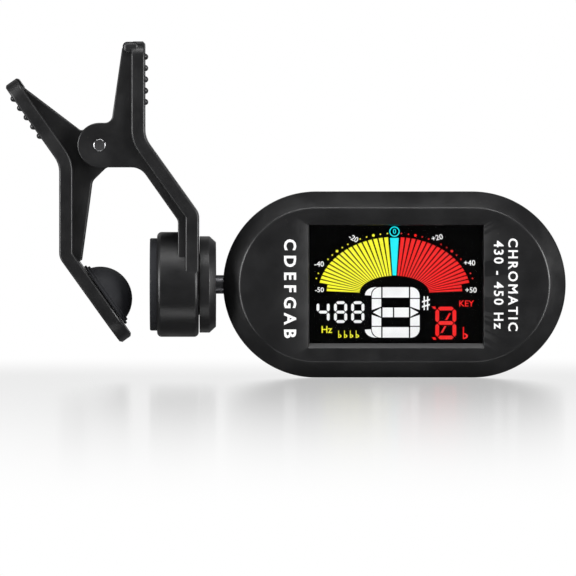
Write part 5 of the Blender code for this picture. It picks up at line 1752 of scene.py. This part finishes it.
class TunerStage(bpy.types.PropertyGroup):
    """The studio round the tuner."""

    key: bpy.props.FloatProperty(
        name="Key light", description="Power of the long light above the front", default=1.5, unit="POWER"
    )
    side: bpy.props.FloatProperty(
        name="Side lights",
        description="Power of each of the two lights beside the camera",
        default=3.4,
        unit="POWER"
    )
    rear: bpy.props.FloatProperty(
        name="Rear light", description="Power of the light behind", default=0.2, unit="POWER"
    )
    room: bpy.props.FloatProperty(
        name="Room light", description="Brightness of the room all round", default=0.09, min=0.0, max=1.0
    )
    floor_gloss: bpy.props.FloatProperty(
        name="Floor gloss",
        description="Share of the floor's look that is reflection",
        default=0.5,
        min=0.0,
        max=1.0,
        subtype="FACTOR"
    )
    floor_roughness: bpy.props.FloatProperty(
        name="Floor roughness",
        description="Blur of the floor's reflection",
        default=0.14,
        min=0.0,
        max=1.0,
        subtype="FACTOR"
    )
    lens: bpy.props.FloatProperty(
        name="Focal length", description="Focal length of the camera", default=900.0, unit="CAMERA"
    )
    view_width: bpy.props.FloatProperty(
        name="View width",
        description="Width of what the camera sees at the tuner",
        default=0.1008,
        unit="LENGTH"
    )
    camera_lift: bpy.props.FloatProperty(
        name="Camera lift", description="How far the camera looks down", default=math.radians(
            0.6
        ), unit="ROTATION"
    )


class PieceOperator(bpy.types.Operator):
    """What all the operators share: they can be undone."""

    bl_options = {"REGISTER", "UNDO"}


class TUNER_OT_drum_arm(PieceOperator):
    """Makes the drum arm: a lever plate with its webs, end wall and ribs, grown onto the round drum"""

    bl_idname = "tuner.drum_arm"
    bl_label = "Drum arm"

    def execute(self, context):
        scene = context.scene
        bore = rod(CUP_BORE, (3.3 * MM, 0, 0), (9.5 * MM, 0, 0), 96)
        shapes = arm_shapes(scene.tuner_sizes)
        piece = joined("drum_arm_skin", shapes, [pin_hole(), bore], "clip_arm")
        dress(piece, finish("lever plastic"))
        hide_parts("drum_arm")
        return {"FINISHED"}


class TUNER_OT_jaw_lever(PieceOperator):
    """Makes the jaw lever: bent plate, webs, end wall and grip ribs"""

    bl_idname = "tuner.jaw_lever"
    bl_label = "Jaw lever"

    def execute(self, context):
        scene = context.scene
        seat, normal = jaw_seat()
        peg = rod(1.8 * MM, seat + normal * MM, seat - normal * 1.7 * MM, 40)
        piece = joined(
            "jaw_lever_skin", jaw_shapes(scene.tuner_sizes), [pin_hole(), peg], "jaw"
        )
        dress(piece, finish("lever plastic"))
        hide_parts("jaw_lever")
        return {"FINISHED"}


class TUNER_OT_pads(PieceOperator):
    """Makes the two rubber clamping pads"""

    bl_idname = "tuner.pads"
    bl_label = "Clamping pads"

    def execute(self, context):
        flat = turned(pad_profile(), (0, 0, 0), (1, 0, 0), 128)
        piece = shape_piece("drum_pad_skin", flat, "clip_arm", "pad rubber")
        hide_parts("drum_pad")
        seat, normal = jaw_seat()
        dome = turned(dome_profile(), seat, normal, 112)
        piece = shape_piece("jaw_pad_skin", dome, "jaw", "pad rubber")
        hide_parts("jaw_pad")
        return {"FINISHED"}


class TUNER_OT_pivot(PieceOperator):
    """Makes the pivot pin and the torsion spring wound round it"""

    bl_idname = "tuner.pivot"
    bl_label = "Pin and spring"

    def execute(self, context):
        end, edge = 2 * PIN_HALF, 0.2 * MM
        profile = soft_profile([(end, 0, 0), (end, PIN_RADIUS, edge), (0, PIN_RADIUS, edge), (0, 0, 0)])
        pin = turned(profile, PIVOT - Vector((0, PIN_HALF, 0)), (0, 1, 0), 64)
        piece = shape_piece("pivot_pin_skin", pin, "clip_arm", "pin steel")
        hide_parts("pivot_pin")
        wire = tube(spring_route(), SPRING_WIRE, 20)
        piece = shape_piece("torsion_spring_skin", wire, None, "spring steel", 60)
        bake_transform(piece)
        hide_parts("torsion_spring")
        return {"FINISHED"}


class TUNER_OT_ball_joint(PieceOperator):
    """Makes the collar and the ball stud, and finishes the cup, the liner and the washer"""

    bl_idname = "tuner.ball_joint"
    bl_label = "Ball joint"

    def execute(self, context):
        collar = turned(collar_profile(), (0, 0, 0), (1, 0, 0), 128)
        piece = shape_piece("ball_retainer_skin", collar, "clip_arm", "lever plastic")
        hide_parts("ball_retainer")
        stud = turned(stud_profile(), (0, 0, 0), (1, 0, 0), 80)
        piece = shape_piece("ball_stud_skin", stud, "display_head", "dark zinc")
        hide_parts("ball_stud")
        for name in ("ball_seat", "ball_liner"):
            dress_node(name, "nylon")
        dress_node("seat_spring", "spring steel")
        return {"FINISHED"}


class TUNER_OT_case(PieceOperator):
    """Makes the two halves of the display head's case"""

    bl_idname = "tuner.case"
    bl_label = "Case halves"

    def execute(self, context):
        piece = joined("front_case_skin", [front_shell()], [stem_hole()], "display_head")
        dress(piece, finish("case plastic"))
        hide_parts("front_case")
        piece = joined(
            "rear_case_skin", [rear_shell(), deck_shape()], rear_cutters(), "display_head"
        )
        dress(piece, finish("case plastic"))
        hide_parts("rear_case")
        return {"FINISHED"}


class TUNER_OT_battery(PieceOperator):
    """Makes the sliding battery door, and finishes the coin cell and its contacts"""

    bl_idname = "tuner.battery"
    bl_label = "Battery door and cell"

    def execute(self, context):
        shapes, cutters = door_shapes()
        piece = joined("battery_door_skin", shapes, cutters, "battery_cover")
        dress(piece, finish("case plastic"))
        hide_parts("battery_door")
        dress_node("coin_cell", "nickel can")
        for name in ("contact_plus", "contact_minus"):
            dress_node(name, "spring steel")
        return {"FINISHED"}


class TUNER_OT_buttons(PieceOperator):
    """Makes the three rubber push buttons with their raised signs"""

    bl_idname = "tuner.buttons"
    bl_label = "Buttons"

    def execute(self, context):
        for key in ("power", "mode", "pitch"):
            name = f"{key}_button"
            middle = (low(name) + high(name)) / 2
            piece = shape_piece(
                f"{name}_skin", merged([button_shape(name), button_sign(key, middle.x, middle.z)]),
                f"{key}_key", "button rubber",
            )
            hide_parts(name)
            dress_node(f"{key}_plunger", "white plastic")
            dress_node(f"{key}_switch", "chip resin")
        return {"FINISHED"}


class TUNER_OT_screws(PieceOperator):
    """Makes the four case screws with their cross recesses"""

    bl_idname = "tuner.screws"
    bl_label = "Case screws"

    def execute(self, context):
        for index in (1, 2, 3, 4):
            name = f"case_screw_{index}"
            piece = joined(
                f"{name}_skin",
                [screw_shape(name)],
                cross_recess(name, 17.0 * index),
                "display_head",
            )
            dress(piece, finish("screw steel"))
            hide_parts(name)
        return {"FINISHED"}


class TUNER_OT_window(PieceOperator):
    """Makes the clear window"""

    bl_idname = "tuner.window"
    bl_label = "Window"

    def execute(self, context):
        start, end = low("window_lens"), high("window_lens")
        outline = np.array([(start.x, start.z), (end.x, start.z), (end.x, end.z), (start.x, end.z)])
        points, faces = slab(outline, start.y, end.y, 0.08 * MM, 2)
        piece = mesh_piece("window_lens_skin", points, faces, "display_head")
        dress(piece, clear_window())
        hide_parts("window_lens")
        return {"FINISHED"}


class TUNER_OT_display(PieceOperator):
    """Makes the display's lit segments: gauge, dots, note, pitch and labels"""

    bl_idname = "tuner.display"
    bl_label = "Display segments"

    def execute(self, context):
        scene = context.scene
        colours = scene.tuner_colours
        for name, colour, outlines, words in display_art(scene.tuner_sizes.gauge_bars):
            shapes = [flat_solids(outlines, LCD_Y, scene.tuner_sizes.lit_thickness)]
            shapes += [lettering(text, size, x, z, LCD_Y, turn) for text, size, x, z, turn in words]
            points, faces = merged(shapes)
            piece = mesh_piece(f"{name}_segments", points, faces, "display_head")
            dress(piece, lit_segment(f"{name} light", getattr(colours, f"{colour}_colour"), 1.0))
        return {"FINISHED"}


class TUNER_OT_prints(PieceOperator):
    """Prints plain note letters and a pitch range beside the window"""

    bl_idname = "tuner.prints"
    bl_label = "Case prints"

    def execute(self, context):
        y = FACE_Y - 0.012 * MM
        shapes = [
            lettering("C D E F G A B", 2.85 * MM, 24.4 * MM, -0.65 * MM, y, -90.0, 0.03),
            lettering("CHROMATIC", 2.3 * MM, 63.35 * MM, 0.0, y, -90.0, 0.02, 1.3),
            lettering("430 - 450 Hz", 2.3 * MM, 60.85 * MM, 0.0, y, -90.0, 0.02, 1.25),
        ]
        points, faces = merged(shapes)
        piece = mesh_piece("case_prints", points, faces, "display_head")
        dress(piece, finish("print ink"))
        return {"FINISHED"}


class TUNER_OT_inside(PieceOperator):
    """Finishes the pieces inside the drum and the head that show as they are"""

    bl_idname = "tuner.inside"
    bl_label = "Inner pieces"

    def execute(self, context):
        for name, look in INNER_FINISHES.items():
            dress_node(name, look)
        return {"FINISHED"}


class TUNER_OT_stage(PieceOperator):
    """Makes the studio: the white floor, the room's light, four soft lights and the camera"""

    bl_idname = "tuner.stage"
    bl_label = "Studio"

    def execute(self, context):
        build_stage(context.scene)
        return {"FINISHED"}


MAKERS = (
    TUNER_OT_drum_arm,
    TUNER_OT_jaw_lever,
    TUNER_OT_pads,
    TUNER_OT_pivot,
    TUNER_OT_ball_joint,
    TUNER_OT_case,
    TUNER_OT_battery,
    TUNER_OT_buttons,
    TUNER_OT_screws,
    TUNER_OT_window,
    TUNER_OT_display,
    TUNER_OT_prints,
    TUNER_OT_inside,
    TUNER_OT_stage,
)


class TUNER_PT_panel(bpy.types.Panel):
    """Lists the tuner's pieces and what may be changed"""

    bl_idname = "TUNER_PT_panel"
    bl_label = "Clip-on tuner"
    bl_space_type = "VIEW_3D"
    bl_region_type = "UI"
    bl_category = "Tuner"

    def draw(self, context):
        layout = self.layout
        for group_name in ("tuner_sizes", "tuner_colours", "tuner_stage"):
            box = layout.box()
            settings = getattr(context.scene, group_name)
            for key in settings.bl_rna.properties.keys():
                if key not in ("rna_type", "name"):
                    box.prop(settings, key)
        for maker in MAKERS:
            layout.operator(maker.bl_idname)


PROPERTY_GROUPS = {
    "tuner_sizes": TunerSizes,
    "tuner_colours": TunerColours,
    "tuner_stage": TunerStage,
}


def register():
    for made in (*PROPERTY_GROUPS.values(), *MAKERS, TUNER_PT_panel):
        bpy.utils.register_class(made)
    for name, kind in PROPERTY_GROUPS.items():
        setattr(bpy.types.Scene, name, bpy.props.PointerProperty(type=kind))


def unregister():
    for name in PROPERTY_GROUPS:
        delattr(bpy.types.Scene, name)
    for made in reversed((*PROPERTY_GROUPS.values(), *MAKERS, TUNER_PT_panel)):
        bpy.utils.unregister_class(made)


def main():
    register()
    for maker in MAKERS:
        area, name = maker.bl_idname.split(".")
        getattr(getattr(bpy.ops, area), name)()


if __name__ == "__main__":
    main()
